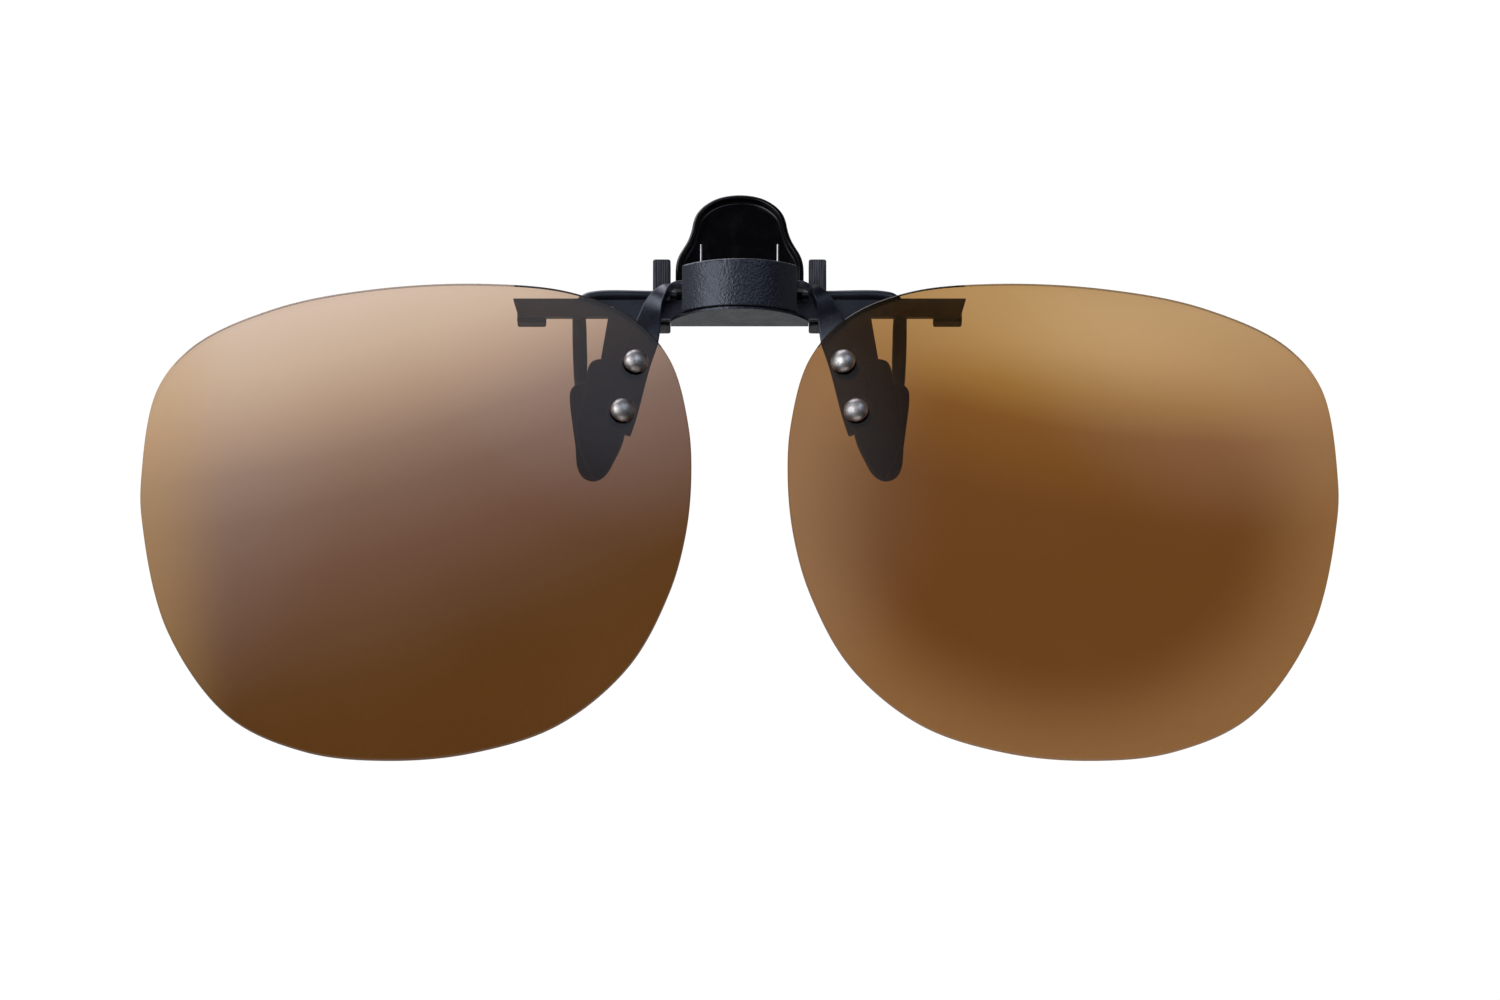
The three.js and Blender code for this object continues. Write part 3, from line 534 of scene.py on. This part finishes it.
class Look:
    """A node material, built from small named steps."""

    def __init__(self, name, **sockets):
        self.material = bpy.data.materials.new(name)
        self.material.use_nodes = True
        self.tree = self.material.node_tree
        self.shader = self.tree.nodes["Principled BSDF"]
        self.place = self.add("ShaderNodeTexCoord").outputs["Object"]
        for socket, value in sockets.items():
            self.shader.inputs[socket.replace("_", " ")].default_value = value

    def add(self, kind, inputs=(), **settings):
        node = self.tree.nodes.new(kind)
        for setting, value in settings.items():
            setattr(node, setting, value)
        for key, value in dict(inputs).items():
            self.feed(node.inputs[key], value)
        return node

    def feed(self, socket, value):
        if isinstance(value, bpy.types.NodeSocket):
            self.tree.links.new(value, socket)
        else:
            socket.default_value = value

    def set(self, socket, value):
        self.feed(self.shader.inputs[socket], value)

    def noise(self, scale, detail=3.0, roughness=0.55, stretch=(1, 1, 1)):
        at = self.add("ShaderNodeMapping", {"Vector": self.place, "Scale": stretch}).outputs["Vector"]
        inputs = {"Vector": at, "Scale": scale, "Detail": detail, "Roughness": roughness}
        return self.add("ShaderNodeTexNoise", inputs).outputs["Fac"]

    def spread(self, value, low, high, to_low=0.0, to_high=1.0, kind="SMOOTHSTEP"):
        inputs = {"Value": value, "From Min": low, "From Max": high, "To Min": to_low, "To Max": to_high}
        return self.add("ShaderNodeMapRange", inputs, interpolation_type=kind).outputs["Result"]

    def mix(self, share, a, b):
        node = self.add("ShaderNodeMix", data_type="RGBA")
        self.feed(node.inputs[0], share)
        self.feed(node.inputs[6], a)
        self.feed(node.inputs[7], b)
        return node.outputs[2]

    def ramp(self, value, stops):
        """A colour ramp over stops of (value, colour)."""
        low, high = stops[0][0], stops[-1][0]
        node = self.add("ShaderNodeValToRGB", {"Fac": self.spread(value, low, high, kind="LINEAR")})
        points = node.color_ramp.elements
        while len(points) < len(stops):
            points.new(0.5)
        for point, (at, colour) in zip(points, stops):
            point.position = (at - low) / (high - low)
            point.color = rgb(*colour)
        return node.outputs["Color"]

    def math(self, operation, a, b=0.0):
        node = self.add("ShaderNodeMath", operation=operation)
        self.feed(node.inputs[0], a)
        self.feed(node.inputs[1], b)
        return node.outputs[0]

    def bump(self, height, depth_mm, strength=1.0, over=None):
        inputs = {"Height": height, "Distance": depth_mm * MM, "Strength": strength}
        if over is not None:
            inputs["Normal"] = over
        return self.add("ShaderNodeBump", inputs).outputs["Normal"]


def rgb(r, g, b):
    return (r, g, b, 1.0)


def painted_metal():
    """Black paint over a fine blasted surface, which is coarsest on the cap."""
    look = Look("black_paint_finish")
    grain = look.noise(3800, 2.0, 0.5)
    fine = look.noise(9000, 2.0, 0.6)
    patches = look.noise(420, 3.0, 0.5)
    dark, light = rgb(0.003, 0.004, 0.008), rgb(0.008, 0.010, 0.017)
    colour = look.mix(look.spread(grain, 0.34, 0.70), dark, light)
    worn = look.spread(patches, 0.3, 0.75, 0, 0.35)
    look.set("Base Color", look.mix(worn, colour, rgb(0.005, 0.007, 0.012)))
    look.set("Roughness", look.spread(patches, 0.25, 0.75, 0.28, 0.38))
    look.set("Specular IOR Level", 0.85)
    look.set("Specular Tint", rgb(0.78, 0.85, 1.0))
    half_cap = span("hinge_cap")[1].x * MM
    axes = look.add("ShaderNodeSeparateXYZ", {"Vector": look.place}).outputs
    on_cap = look.spread(look.math("ABSOLUTE", axes["X"]), half_cap, half_cap * 1.05, 1.0, 0.22)
    coarse_bump = look.bump(grain, 0.070, on_cap)
    look.set("Normal", look.bump(fine, 0.010, 0.6, coarse_bump))
    return look.material


def gloss_plastic():
    """Polished black plastic, with the faint waves of a moulded part and light handling marks."""
    look = Look("black_lever_finish", Specular_IOR_Level=0.38)
    waves = look.noise(260, 2.0, 0.45)
    smears = look.noise(900, 4.0, 0.6, (1, 1, 0.35))
    look.set("Base Color", look.mix(waves, rgb(0.0010, 0.0010, 0.0016), rgb(0.0026, 0.0025, 0.0036)))
    look.set("Roughness", look.spread(smears, 0.35, 0.75, 0.16, 0.26))
    look.set("Normal", look.bump(waves, 0.035, 0.35))
    return look.material


def silicone(name, dark, light, grain_scale, depth):
    """Matt rubber with a dusty, slightly mottled skin."""
    look = Look(name)
    skin = look.noise(grain_scale, 4.0, 0.6)
    dust = look.noise(900, 3.0, 0.65)
    look.set("Base Color", look.mix(look.spread(dust, 0.3, 0.75), dark, light))
    look.set("Roughness", look.spread(skin, 0.3, 0.7, 0.55, 0.72))
    look.set("Normal", look.bump(skin, depth, 0.6))
    return look.material


def ribbed_silicone():
    """Paler rubber, streaked along its upright ribs."""
    look = Look("bumper_silicone_finish")
    streaks = look.noise(2600, 4.0, 0.6, (1, 1, 0.10))
    grain = look.noise(7000, 3.0, 0.6)
    dark, light = rgb(0.020, 0.021, 0.030), rgb(0.075, 0.078, 0.098)
    look.set("Base Color", look.mix(look.spread(streaks, 0.32, 0.68), dark, light))
    look.set("Roughness", look.spread(grain, 0.3, 0.7, 0.50, 0.68))
    ribs = look.bump(streaks, 0.05, 0.7)
    look.set("Normal", look.bump(grain, 0.012, 0.5, ribs))
    return look.material


def rivet_steel():
    """Tumbled steel with pits and cloudy patches."""
    look = Look("rivet_steel_finish", Metallic=1.0)
    cloud = look.noise(1500, 4.0, 0.65)
    specks = look.noise(5200, 3.0, 0.6)
    pits = look.spread(specks, 0.22, 0.42)
    bright = look.mix(look.spread(cloud, 0.30, 0.72), rgb(0.42, 0.40, 0.39), rgb(0.72, 0.70, 0.69))
    look.set("Base Color", look.mix(pits, rgb(0.16, 0.145, 0.13), bright))
    look.set("Roughness", look.spread(cloud, 0.3, 0.7, 0.46, 0.34))
    dents = look.bump(cloud, 0.05, 0.5)
    look.set("Normal", look.bump(pits, 0.02, 0.7, dents))
    return look.material


def spring_steel():
    """Bright drawn wire, with fine scratches."""
    look = Look("spring_steel_finish", Metallic=1.0)
    scratches = look.noise(4200, 3.0, 0.6, (1, 0.3, 0.12))
    dull, bright = rgb(0.42, 0.42, 0.43), rgb(0.68, 0.68, 0.69)
    look.set("Base Color", look.mix(look.spread(scratches, 0.3, 0.7), dull, bright))
    look.set("Roughness", look.spread(scratches, 0.3, 0.7, 0.18, 0.32))
    look.set("Normal", look.bump(scratches, 0.008, 0.5))
    return look.material


def dark_nylon():
    """Near-black matt plastic for the nylon washers, its darkness also a painted shadow under each rivet
    head.
    """
    look = Look("dark_nylon_finish")
    grain = look.noise(7500, 3.0, 0.6)
    look.set("Base Color", look.mix(grain, rgb(0.006, 0.0055, 0.005), rgb(0.018, 0.017, 0.015)))
    look.set("Roughness", look.spread(grain, 0.3, 0.7, 0.42, 0.6))
    look.set("Normal", look.bump(grain, 0.012, 0.5))
    return look.material


def lens_tint_and_painted_reflection():
    """Clear brown plastic, with painted reflection that pales the left lens to its top and outer side and
    the right one to top and rim.
    """
    look = Look("brown_lens_finish", Transmission_Weight=1.0, Roughness=0.0, IOR=1.5)
    low, high = span("lens_right")
    middle, half = (low + high) / 2, (high - low) / 2
    axes = look.add("ShaderNodeSeparateXYZ", {"Vector": look.place}).outputs
    centre_x, centre_z = middle.x * MM, (middle.z + FLIP_AXIS.z) * MM
    rise = look.math("DIVIDE", look.math("SUBTRACT", axes["Z"], centre_z), half.z * MM)
    side = look.math("ABSOLUTE", axes["X"])
    side = look.math("DIVIDE", look.math("SUBTRACT", side, centre_x), half.x * MM)
    square = look.math("MULTIPLY", side, side)
    out = look.math("SQRT", look.math("ADD", look.math("MULTIPLY", rise, rise), square))

    def slant(slope, bow):
        """The height on the lens, along lines that lean and bow towards its outer side."""
        lean = look.math("ADD", look.math("MULTIPLY", side, slope), look.math("MULTIPLY", square, bow))
        return look.math("ADD", rise, lean)

    # left lens: brown tint, darkest low down, with painted reflection lightening it towards the top
    left = look.ramp(slant(0.36, -0.16), (
        (-0.80, (0.104, 0.040, 0.009)), (-0.62, (0.106, 0.043, 0.012)), (-0.38, (0.124, 0.057, 0.027)),
        (-0.13, (0.155, 0.077, 0.049)), (0.13, (0.200, 0.116, 0.082)), (0.34, (0.285, 0.182, 0.134)),
        (0.55, (0.445, 0.300, 0.212)), (0.78, (0.600, 0.440, 0.320)), (1.00, (0.690, 0.530, 0.420)),
    ))
    # painted reflection of the key light, paler towards the left lens's outer side
    left = look.mix(look.spread(side, 0.62, 1.0, 0, 0.36), left, rgb(0.50, 0.28, 0.06))
    # right lens: brown tint, darkest low down, with painted reflection lightening it towards the top
    right = look.ramp(slant(0.20, -0.20), (
        (-0.90, (0.142, 0.049, 0.011)), (-0.40, (0.143, 0.051, 0.011)), (0.00, (0.147, 0.055, 0.013)),
        (0.36, (0.212, 0.084, 0.017)), (0.52, (0.325, 0.160, 0.038)), (0.72, (0.485, 0.285, 0.105)),
        (0.92, (0.600, 0.390, 0.160)),
    ))
    # painted reflection, paler towards the right lens's rim
    right = look.mix(look.spread(out, 0.60, 1.05, 0, 0.52), right, rgb(0.36, 0.190, 0.075))
    cloud = look.noise(45, 2.0, 0.5)
    # the brown tint with its painted reflection, left lens or right lens by side
    tint_and_painted_reflection = look.mix(look.math("GREATER_THAN", axes["X"], 0.0), left, right)
    look.set("Base Color", look.mix(look.spread(cloud, 0.3, 0.7, 0, 0.04), tint_and_painted_reflection, rgb(0.30, 0.17, 0.08)))
    return look.material


PAINT = painted_metal()
LEVER_PLASTIC = gloss_plastic()
GRIP_SILICONE = silicone("silicone_finish", rgb(0.020, 0.021, 0.028), rgb(0.040, 0.043, 0.054), 5200, 0.02)
BUMPER_SILICONE = ribbed_silicone()
RIVET_STEEL = rivet_steel()
SPRING_STEEL = spring_steel()
NYLON_WITH_PAINTED_SHADOW = dark_nylon()
LENS_PLASTIC = lens_tint_and_painted_reflection()


# ---------- lens frame ----------

SPHERE_CENTRE = np.array([LENS_CENTRE[0], LENS_BACK_Y + LENS_RADIUS, LENS_CENTRE[1]])


def on_sphere(points, radius):
    """[x, z] points carried onto the sphere of a lens face."""
    points = np.atleast_2d(points)
    dx, dz = points[:, 0] - SPHERE_CENTRE[0], points[:, 1] - SPHERE_CENTRE[2]
    y = SPHERE_CENTRE[1] - np.sqrt(radius ** 2 - dx ** 2 - dz ** 2)
    return np.stack([points[:, 0], y, points[:, 1]], axis=1)


def lens_normal(at):
    return unit(on_sphere(at, LENS_RADIUS)[0] - SPHERE_CENTRE)


def stand_on_lens(obj, at):
    """Turns a body made along +Y so that it stands on the back of the lens, with +Y to the front."""
    turn = Vector((0, 1, 0)).rotation_difference(Vector(lens_normal(at)))
    foot = Vector(on_sphere(at, LENS_RADIUS)[0])
    obj.data.transform(Matrix.Translation(foot) @ turn.to_matrix().to_4x4())
    return obj


def rivet_bores():
    radius, reach = SHANK_RADIUS + PLAY, RIVET_BORE_REACH
    profile = [(0, -reach), (radius, -reach), (radius, reach), (0, reach)]
    return [stand_on_lens(lathe("bore", profile, 32), at) for at in LENS_RIVETS.values()]


def lens_normals(obj):
    """Gives the two polished faces the exact normals of their spheres."""
    mesh = obj.data
    centre = Vector(SPHERE_CENTRE)
    normals = [Vector((0, 0, 0))] * len(mesh.loops)
    for polygon in mesh.polygons:
        away = [(mesh.vertices[v].co - centre).length for v in polygon.vertices]
        for radius, side in ((LENS_RADIUS + LENS_THICKNESS, 1), (LENS_RADIUS, -1)):
            if all(abs(r - radius) < LENS_FACE_TOLERANCE for r in away):
                for loop, v in zip(polygon.loop_indices, polygon.vertices):
                    normals[loop] = (mesh.vertices[v].co - centre).normalized() * side
    mesh.normals_split_custom_set(normals)


def make_lens():
    outline = smooth_loop(LENS_OUTLINE, LENS_EDGE_POINTS) + LENS_CENTRE
    front, back = LENS_RADIUS + LENS_THICKNESS, LENS_RADIUS
    bevel = LENS_EDGE_BEVEL
    shrunk = inset(outline, bevel)
    middle = shrunk.mean(axis=0)
    shares = np.linspace(0, 1, LENS_FACE_RINGS + 1)[:0:-1]
    face = [middle + (shrunk - middle) * s for s in shares]
    rings = [on_sphere(ring, front) for ring in face[::-1]]
    rings += [on_sphere(outline, front - bevel), on_sphere(outline, back + bevel)]
    rings += [on_sphere(ring, back) for ring in face]
    obj = cut(loft("lens", rings), *rivet_bores())
    mark_sharp(obj, LENS_SHARP_ANGLE)
    lens_normals(obj)
    place_pair(obj, "lens", "lens_frame", LENS_PLASTIC, "brown_lens")


def make_arm():
    behind = LENS_RADIUS - ARM_GAP - ARM_THICKNESS / 2

    def on_lens(at, gap=0.0):
        return (on_sphere(at, behind - gap)[0], lens_normal(at), ARM_WIDTH, ARM_THICKNESS)

    keys = [(at, facing, wide, ARM_THICKNESS) for at, facing, wide in ARM_BEND]
    keys += [on_lens(ARM_MEETS_LENS, 2 * PLAY)]
    keys += [on_lens(at) for at in (LENS_RIVETS["upper"], LENS_RIVETS["lower"], ARM_END)]
    obj = sweep("arm", blend_keys(keys, 10), strip_section)
    place_pair(shade(cut(obj, *rivet_bores())), "lens_arm", "lens_frame", PAINT, "black_paint")


def dome(radius, base, height, steps=10):
    angles = np.linspace(0, math.pi / 2, steps + 1)
    return [(radius * math.cos(a), base + height * math.sin(a)) for a in angles[:-1]] + [(0, base + height)]


def make_lens_rivets():
    for level, at in LENS_RIVETS.items():
        tail = [(r, 2 * TAIL_BASE - h) for r, h in dome(TAIL_RADIUS, TAIL_BASE, TAIL_HEIGHT)][::-1]
        profile = [*tail, (SHANK_RADIUS, TAIL_BASE), (SHANK_RADIUS, HEAD_BASE),
                   *dome(HEAD_RADIUS, HEAD_BASE, HEAD_HEIGHT)]
        rivet = stand_on_lens(shade(lathe("rivet", profile)), at)
        place_pair(rivet, f"lens_rivet_{level}", "lens_frame", RIVET_STEEL, "rivet_steel")
        # the front washers are nylon parts; their near-black edge below each head is a painted shadow
        for side, heights, finish, slot_name in (
            ("front", FRONT_WASHER, NYLON_WITH_PAINTED_SHADOW, "dark_nylon"),
            ("rear", REAR_WASHER, RIVET_STEEL, "rivet_steel"),
        ):
            profile = ring_profile(SHANK_RADIUS + PLAY, WASHER_RADIUS, *heights)
            washer = stand_on_lens(shade(lathe("washer", profile), 60), at)
            place_pair(washer, f"rivet_{side}_washer_{level}", "lens_frame", finish, slot_name)


def make_axle():
    axle = shade(soften(cad_copy("flip_axle"), 0.06, 2))
    place(axle, "lens_frame", SPRING_STEEL, "rivet_steel", "flip_axle").name = "flip_axle_piece"


# ---------- clip base ----------

def d_corners(half_width, radius, front, back, steps=40):
    """A plan with a round front between two straight sides."""
    half_angle = math.asin(half_width / radius)
    arc = [(radius * math.sin(a), front + radius - radius * math.cos(a))
           for a in np.linspace(-half_angle, half_angle, steps + 1)]
    return [(half_width, back), (-half_width, back), *arc]


def make_cap():
    low, high = span("hinge_cap")
    corners = d_corners(high.x, CAP_FRONT_RADIUS, low.y, high.y)
    radii = [CAP_BACK_CORNER, CAP_BACK_CORNER, CAP_CORNER] + [0] * (len(corners) - 4) + [CAP_CORNER]
    plan = round_corners(corners, radii[::-1])
    cap = plate("hinge_cap_piece", plan, low.z, high.z, CAP_LOWER_EDGE, flat, 5, CAP_FILLET)
    room = d_corners(high.x - CAP_WALL, CAP_FRONT_RADIUS - CAP_WALL, low.y + CAP_WALL, REACH)
    cut(cap, plate("room", room, -REACH, high.z - CAP_ROOF, lay=flat),
        bar_along_x("bore", CAP_ARM_HOLE, -REACH, REACH, 0, 0))
    place(shade(cap), "clip_base", PAINT, "black_paint", "hinge_cap")


def make_softened(node, width, material, slot_name):
    """A piece of the clip's base whose CAD shape is right already, with its edges rounded."""
    made = shade(soften(cad_copy(node), width))
    place(made, "clip_base", material, slot_name, node).name = f"{node}_piece"


def make_grip(outline, depths, name, pocket):
    grip = plate(name, smooth_loop(outline, 150), *depths, GRIP_EDGE, steps=6)
    return shade(cut(grip, pocket), 50)


def make_front_grips():
    low, high = span("front_grip_right")
    leg = plate("leg", inset(counter_clockwise(LEG_OUTLINE), -PLAY),
                JAW_PLATE_DEPTH[0] - PLAY, JAW_PLATE_DEPTH[1] + PLAY)
    grip = make_grip(FRONT_GRIP_OUTLINE, (low.y, high.y), "front_grip", leg)
    place_pair(grip, "front_grip", "clip_base", GRIP_SILICONE, "silicone")


def make_rim_rest():
    rest = shade(soften(cad_copy("rim_rest_cap_right"), RIM_REST_EDGE, 4))
    place_pair(rest, "rim_rest_cap", "clip_base", GRIP_SILICONE, "silicone")


def make_bumper():
    low, high = span("bridge_bumper_right")
    corners = [(low.x, low.y), (high.x, low.y), (high.x, high.y), (low.x, high.y)]
    length = 2 * (high.x - low.x + high.y - low.y)
    ribs = round(length / BUMPER_RIB_PITCH)
    plan = evenly(round_corners(corners, BUMPER_CORNER), ribs * BUMPER_RIB_POINTS)
    turns = np.arange(len(plan)) / BUMPER_RIB_POINTS
    wave = (1 - np.cos(turns * 2 * math.pi)) / 2 * BUMPER_RIB_DEPTH
    bumper = plate("bumper", plan, low.z, high.z, BUMPER_EDGE, flat, ripple=wave[:, None])
    cut(bumper, block("pocket", *EAR_POCKET), block("slit", *EAR_SLIT),
        bar_along_x("bore", EAR_BORE, 0, 2 * REACH, PIVOT.y, PIVOT.z))
    place_pair(shade(bumper, 55), "bridge_bumper", "clip_base", BUMPER_SILICONE, "bumper_silicone")


# ---------- rear jaw ----------

def on_lever(x, behind, up):
    """A place on the lever, from its middle plane and the height above the pivot."""
    sin, cos = math.sin(LEVER_LEAN), math.cos(LEVER_LEAN)
    return np.array([x, PIVOT.y + behind * cos + up * sin, PIVOT.z - behind * sin + up * cos])


def make_lever():
    left = [(-x, up) for x, up in LEVER_OUTLINE[-2::-1]]
    whole = curve_through(LEVER_OUTLINE + left, 9)
    body = plate("lever", whole, -LEVER_HALF_THICKNESS, LEVER_HALF_THICKNESS, LEVER_EDGE, steps=6)
    dish = inset(whole, LEVER_RIM)[1:-1]
    dish = np.vstack([(dish[0, 0], 0), dish, (dish[-1, 0], 0)])
    floor = LEVER_HALF_THICKNESS - LEVER_FLOOR
    cut(body, plate("dish", dish, -REACH, floor, steps=5, high_edge=LEVER_DISH_EDGE))
    soften(body, LEVER_RIM_EDGE, 3, 55)
    inner = BARREL_SPAN[0]
    cut(body, block("window", (-inner, -REACH, -REACH), (inner, REACH, LEVER_WINDOW_TOP)))
    body.data.transform(Matrix.Translation(PIVOT) @ Matrix.Rotation(-LEVER_LEAN, 4, "X"))
    barrels = [bar_along_x("barrel", BARREL_RADIUS, x0, x1, PIVOT.y, PIVOT.z, 48)
               for x0, x1 in (BARREL_SPAN, (-BARREL_SPAN[1], -BARREL_SPAN[0]))]
    join(body, *barrels)
    cut(body, bar_along_x("bore", WIRE / 2 + PLAY, -REACH, REACH, PIVOT.y, PIVOT.z))
    lever = place(shade(body, 48), "rear_jaw", LEVER_PLASTIC, "black_lever", "thumb_lever")
    lever.name = "thumb_lever_piece"


def wire_stations(grow=0.0):
    right = [(at, (0, 1, 0), wide + 2 * grow, thick + 2 * grow) for at, wide, thick in WIRE_ROUTE]
    left = [((-at[0], at[1], at[2]), facing, wide, thick) for at, facing, wide, thick in right]
    return blend_keys([*left[::-1], *right], 10)


def make_wire_and_rear_grips():
    wire = shade(sweep("jaw_wire_piece", wire_stations(), round_section), 50)
    place(wire, "rear_jaw", PAINT, "black_paint", "jaw_wire")
    low, high = span("rear_grip_right")
    pocket = sweep("pocket", wire_stations(PLAY), round_section)
    grip = make_grip(REAR_GRIP_OUTLINE, (low.y, high.y), "rear_grip", pocket)
    place_pair(grip, "rear_grip", "rear_jaw", GRIP_SILICONE, "silicone")


def make_jaw_spring():
    turns = 2 * math.pi * COIL_TURNS + LEVER_LEAN
    steps = COIL_STEPS * COIL_TURNS
    coil = [(COIL_SPAN[0] + (COIL_SPAN[1] - COIL_SPAN[0]) * i / steps,
             PIVOT.y - COIL_RADIUS * math.cos(turns * i / steps),
             PIVOT.z + COIL_RADIUS * math.sin(turns * i / steps)) for i in range(steps + 1)]
    right = [*curve_through([*SPRING_BRIDGE, coil[0]], 6)[:-1], *np.array(coil),
             *curve_through([coil[-1], *(on_lever(*place) for place in SPRING_LEG)], 8)[1:]]
    route = [p * (-1, 1, 1) for p in right[::-1]] + right
    bridge_top = SPRING_BRIDGE[0][2] + SPRING_WIRE
    stations = [(p, (0, 1, 0) if p[2] < bridge_top else (1, 0, 0), SPRING_WIRE, SPRING_WIRE) for p in route]
    spring = shade(sweep("jaw_spring_piece", stations, lambda w, t: round_section(w, t, 12)), 60)
    place(spring, None, SPRING_STEEL, "spring_steel", "jaw_spring")
    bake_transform(spring)


make_lens()
make_arm()
make_lens_rivets()
make_axle()
make_cap()
make_softened("hinge_base", 0.07, PAINT, "black_paint")
make_softened("front_jaw_plate", 0.12, PAINT, "black_paint")
make_softened("pivot_bracket", 0.1, PAINT, "black_paint")
make_softened("plate_rivet_right", 0.05, RIVET_STEEL, "rivet_steel")
make_softened("plate_rivet_left", 0.05, RIVET_STEEL, "rivet_steel")
make_softened("detent_spring", 0.03, SPRING_STEEL, "spring_steel")
make_front_grips()
make_rim_rest()
make_bumper()
make_lever()
make_wire_and_rear_grips()
make_jaw_spring()


# ---------- stage, light and camera ----------

FLOOR_DROP = 0.4  # metres, like its half size
FLOOR_HALF_SIZE = 4


def make_floor():
    corners = [(x * FLOOR_HALF_SIZE, y * FLOOR_HALF_SIZE, -FLOOR_DROP)
               for x, y in ((-1, -1), (1, -1), (1, 1), (-1, 1))]
    floor = mesh_object("floor", corners, [(0, 1, 2, 3)])
    finish = Look("floor_finish", Roughness=0.9)
    finish.set("Base Color", rgb(0.82, 0.82, 0.82))
    floor.data.materials.append(finish.material)
    floor.visible_glossy = False


# Soft light by direction: (where it stands, the angles in degrees at which it is full and none, colour,
# strength, the share of it that polished faces mirror)
SOFT_LIGHTS = [
    ((-0.58, -0.76, 0.28), (5, 29), (0.95, 0.96, 1.0), 3.3, 0.24),
    ((0.28, -0.79, 0.54), (3, 21), (0.74, 0.82, 1.0), 1.5, 0.55),
    ((-0.38, 0.20, 0.90), (6, 34), (0.94, 0.92, 1.0), 2.6, 0.4),
    ((-1.00, 0.10, 0.10), (5, 40), (0.95, 0.97, 1.0), 0.5, 0.4),
    ((0.00, -0.50, -0.87), (8, 38), (1.0, 0.92, 0.88), 0.6, 0.4),
    ((0.00, 1.00, 0.20), (20, 80), (1.0, 1.0, 1.0), 0.4, 0.4),
    ((0.95, -0.10, 0.25), (5, 36), (1.0, 1.0, 1.0), 0.15, 0.4),
]
DIM = 0.02
BACKDROP = 1.02


def make_light():
    """White behind everything that is seen straight or through a lens, and soft lamps for all other rays."""
    world = bpy.data.worlds.new("studio")
    scene.world = world
    world.use_nodes = True
    tree = world.node_tree
    nodes, links = tree.nodes, tree.links
    nodes.clear()
    direction = nodes.new("ShaderNodeTexCoord").outputs["Generated"]

    def math_node(operation, *values):
        node = nodes.new("ShaderNodeVectorMath")
        node.operation = operation
        for socket, value in zip(node.inputs, values):
            if isinstance(value, bpy.types.NodeSocket):
                links.new(value, socket)
            else:
                socket.default_value = value
        return node

    total = None
    path = nodes.new("ShaderNodeLightPath").outputs
    for where, (full, none), colour, strength, mirrored in SOFT_LIGHTS:
        dot = math_node("DOT_PRODUCT", direction, tuple(Vector(where).normalized())).outputs["Value"]
        lobe = nodes.new("ShaderNodeMapRange")
        lobe.interpolation_type = "SMOOTHSTEP"
        lobe.inputs["From Min"].default_value = math.cos(math.radians(none))
        lobe.inputs["From Max"].default_value = math.cos(math.radians(full))
        links.new(dot, lobe.inputs["Value"])
        share = nodes.new("ShaderNodeMapRange")
        share.inputs["To Min"].default_value = 1
        share.inputs["To Max"].default_value = mirrored
        links.new(path["Is Singular Ray"], share.inputs["Value"])
        links.new(share.outputs["Result"], lobe.inputs["To Max"])
        lit = math_node("SCALE", tuple(c * strength for c in colour))
        links.new(lobe.outputs["Result"], lit.inputs["Scale"])
        start = total or (DIM, DIM, DIM)
        total = math_node("ADD", start, lit.outputs["Vector"]).outputs["Vector"]
    seen = nodes.new("ShaderNodeMath")
    seen.operation = "MAXIMUM"
    links.new(path["Is Camera Ray"], seen.inputs[0])
    links.new(path["Is Transmission Ray"], seen.inputs[1])
    choice = nodes.new("ShaderNodeMix")
    choice.data_type = "RGBA"
    links.new(seen.outputs[0], choice.inputs[0])
    links.new(total, choice.inputs[6])
    choice.inputs[7].default_value = rgb(BACKDROP, BACKDROP, BACKDROP)
    background = nodes.new("ShaderNodeBackground")
    links.new(choice.outputs[2], background.inputs["Color"])
    output = nodes.new("ShaderNodeOutputWorld")
    links.new(background.outputs[0], output.inputs["Surface"])


CAMERA_RISE = math.radians(-15)
CAMERA_LENS = 200
CAMERA_DISTANCE = 0.8616  # metres
CAMERA_TARGET = (1.09, -3.0, -23.92)
CAMERA_SENSOR_WIDTH = 36


def make_camera():
    camera = bpy.data.objects.new("camera", bpy.data.cameras.new("camera"))
    scene.collection.objects.link(camera)
    camera.data.lens = CAMERA_LENS
    camera.data.sensor_width = CAMERA_SENSOR_WIDTH
    camera.data.clip_start = 0.01
    back = Vector((0, -math.cos(CAMERA_RISE), math.sin(CAMERA_RISE)))
    target = (Vector(CAMERA_TARGET) + FLIP_AXIS) * MM
    camera.location = target + back * CAMERA_DISTANCE
    camera.rotation_euler = (-back).to_track_quat("-Z", "Y").to_euler()
    scene.camera = camera


make_floor()
make_light()
make_camera()
scene.view_settings.view_transform = "Standard"
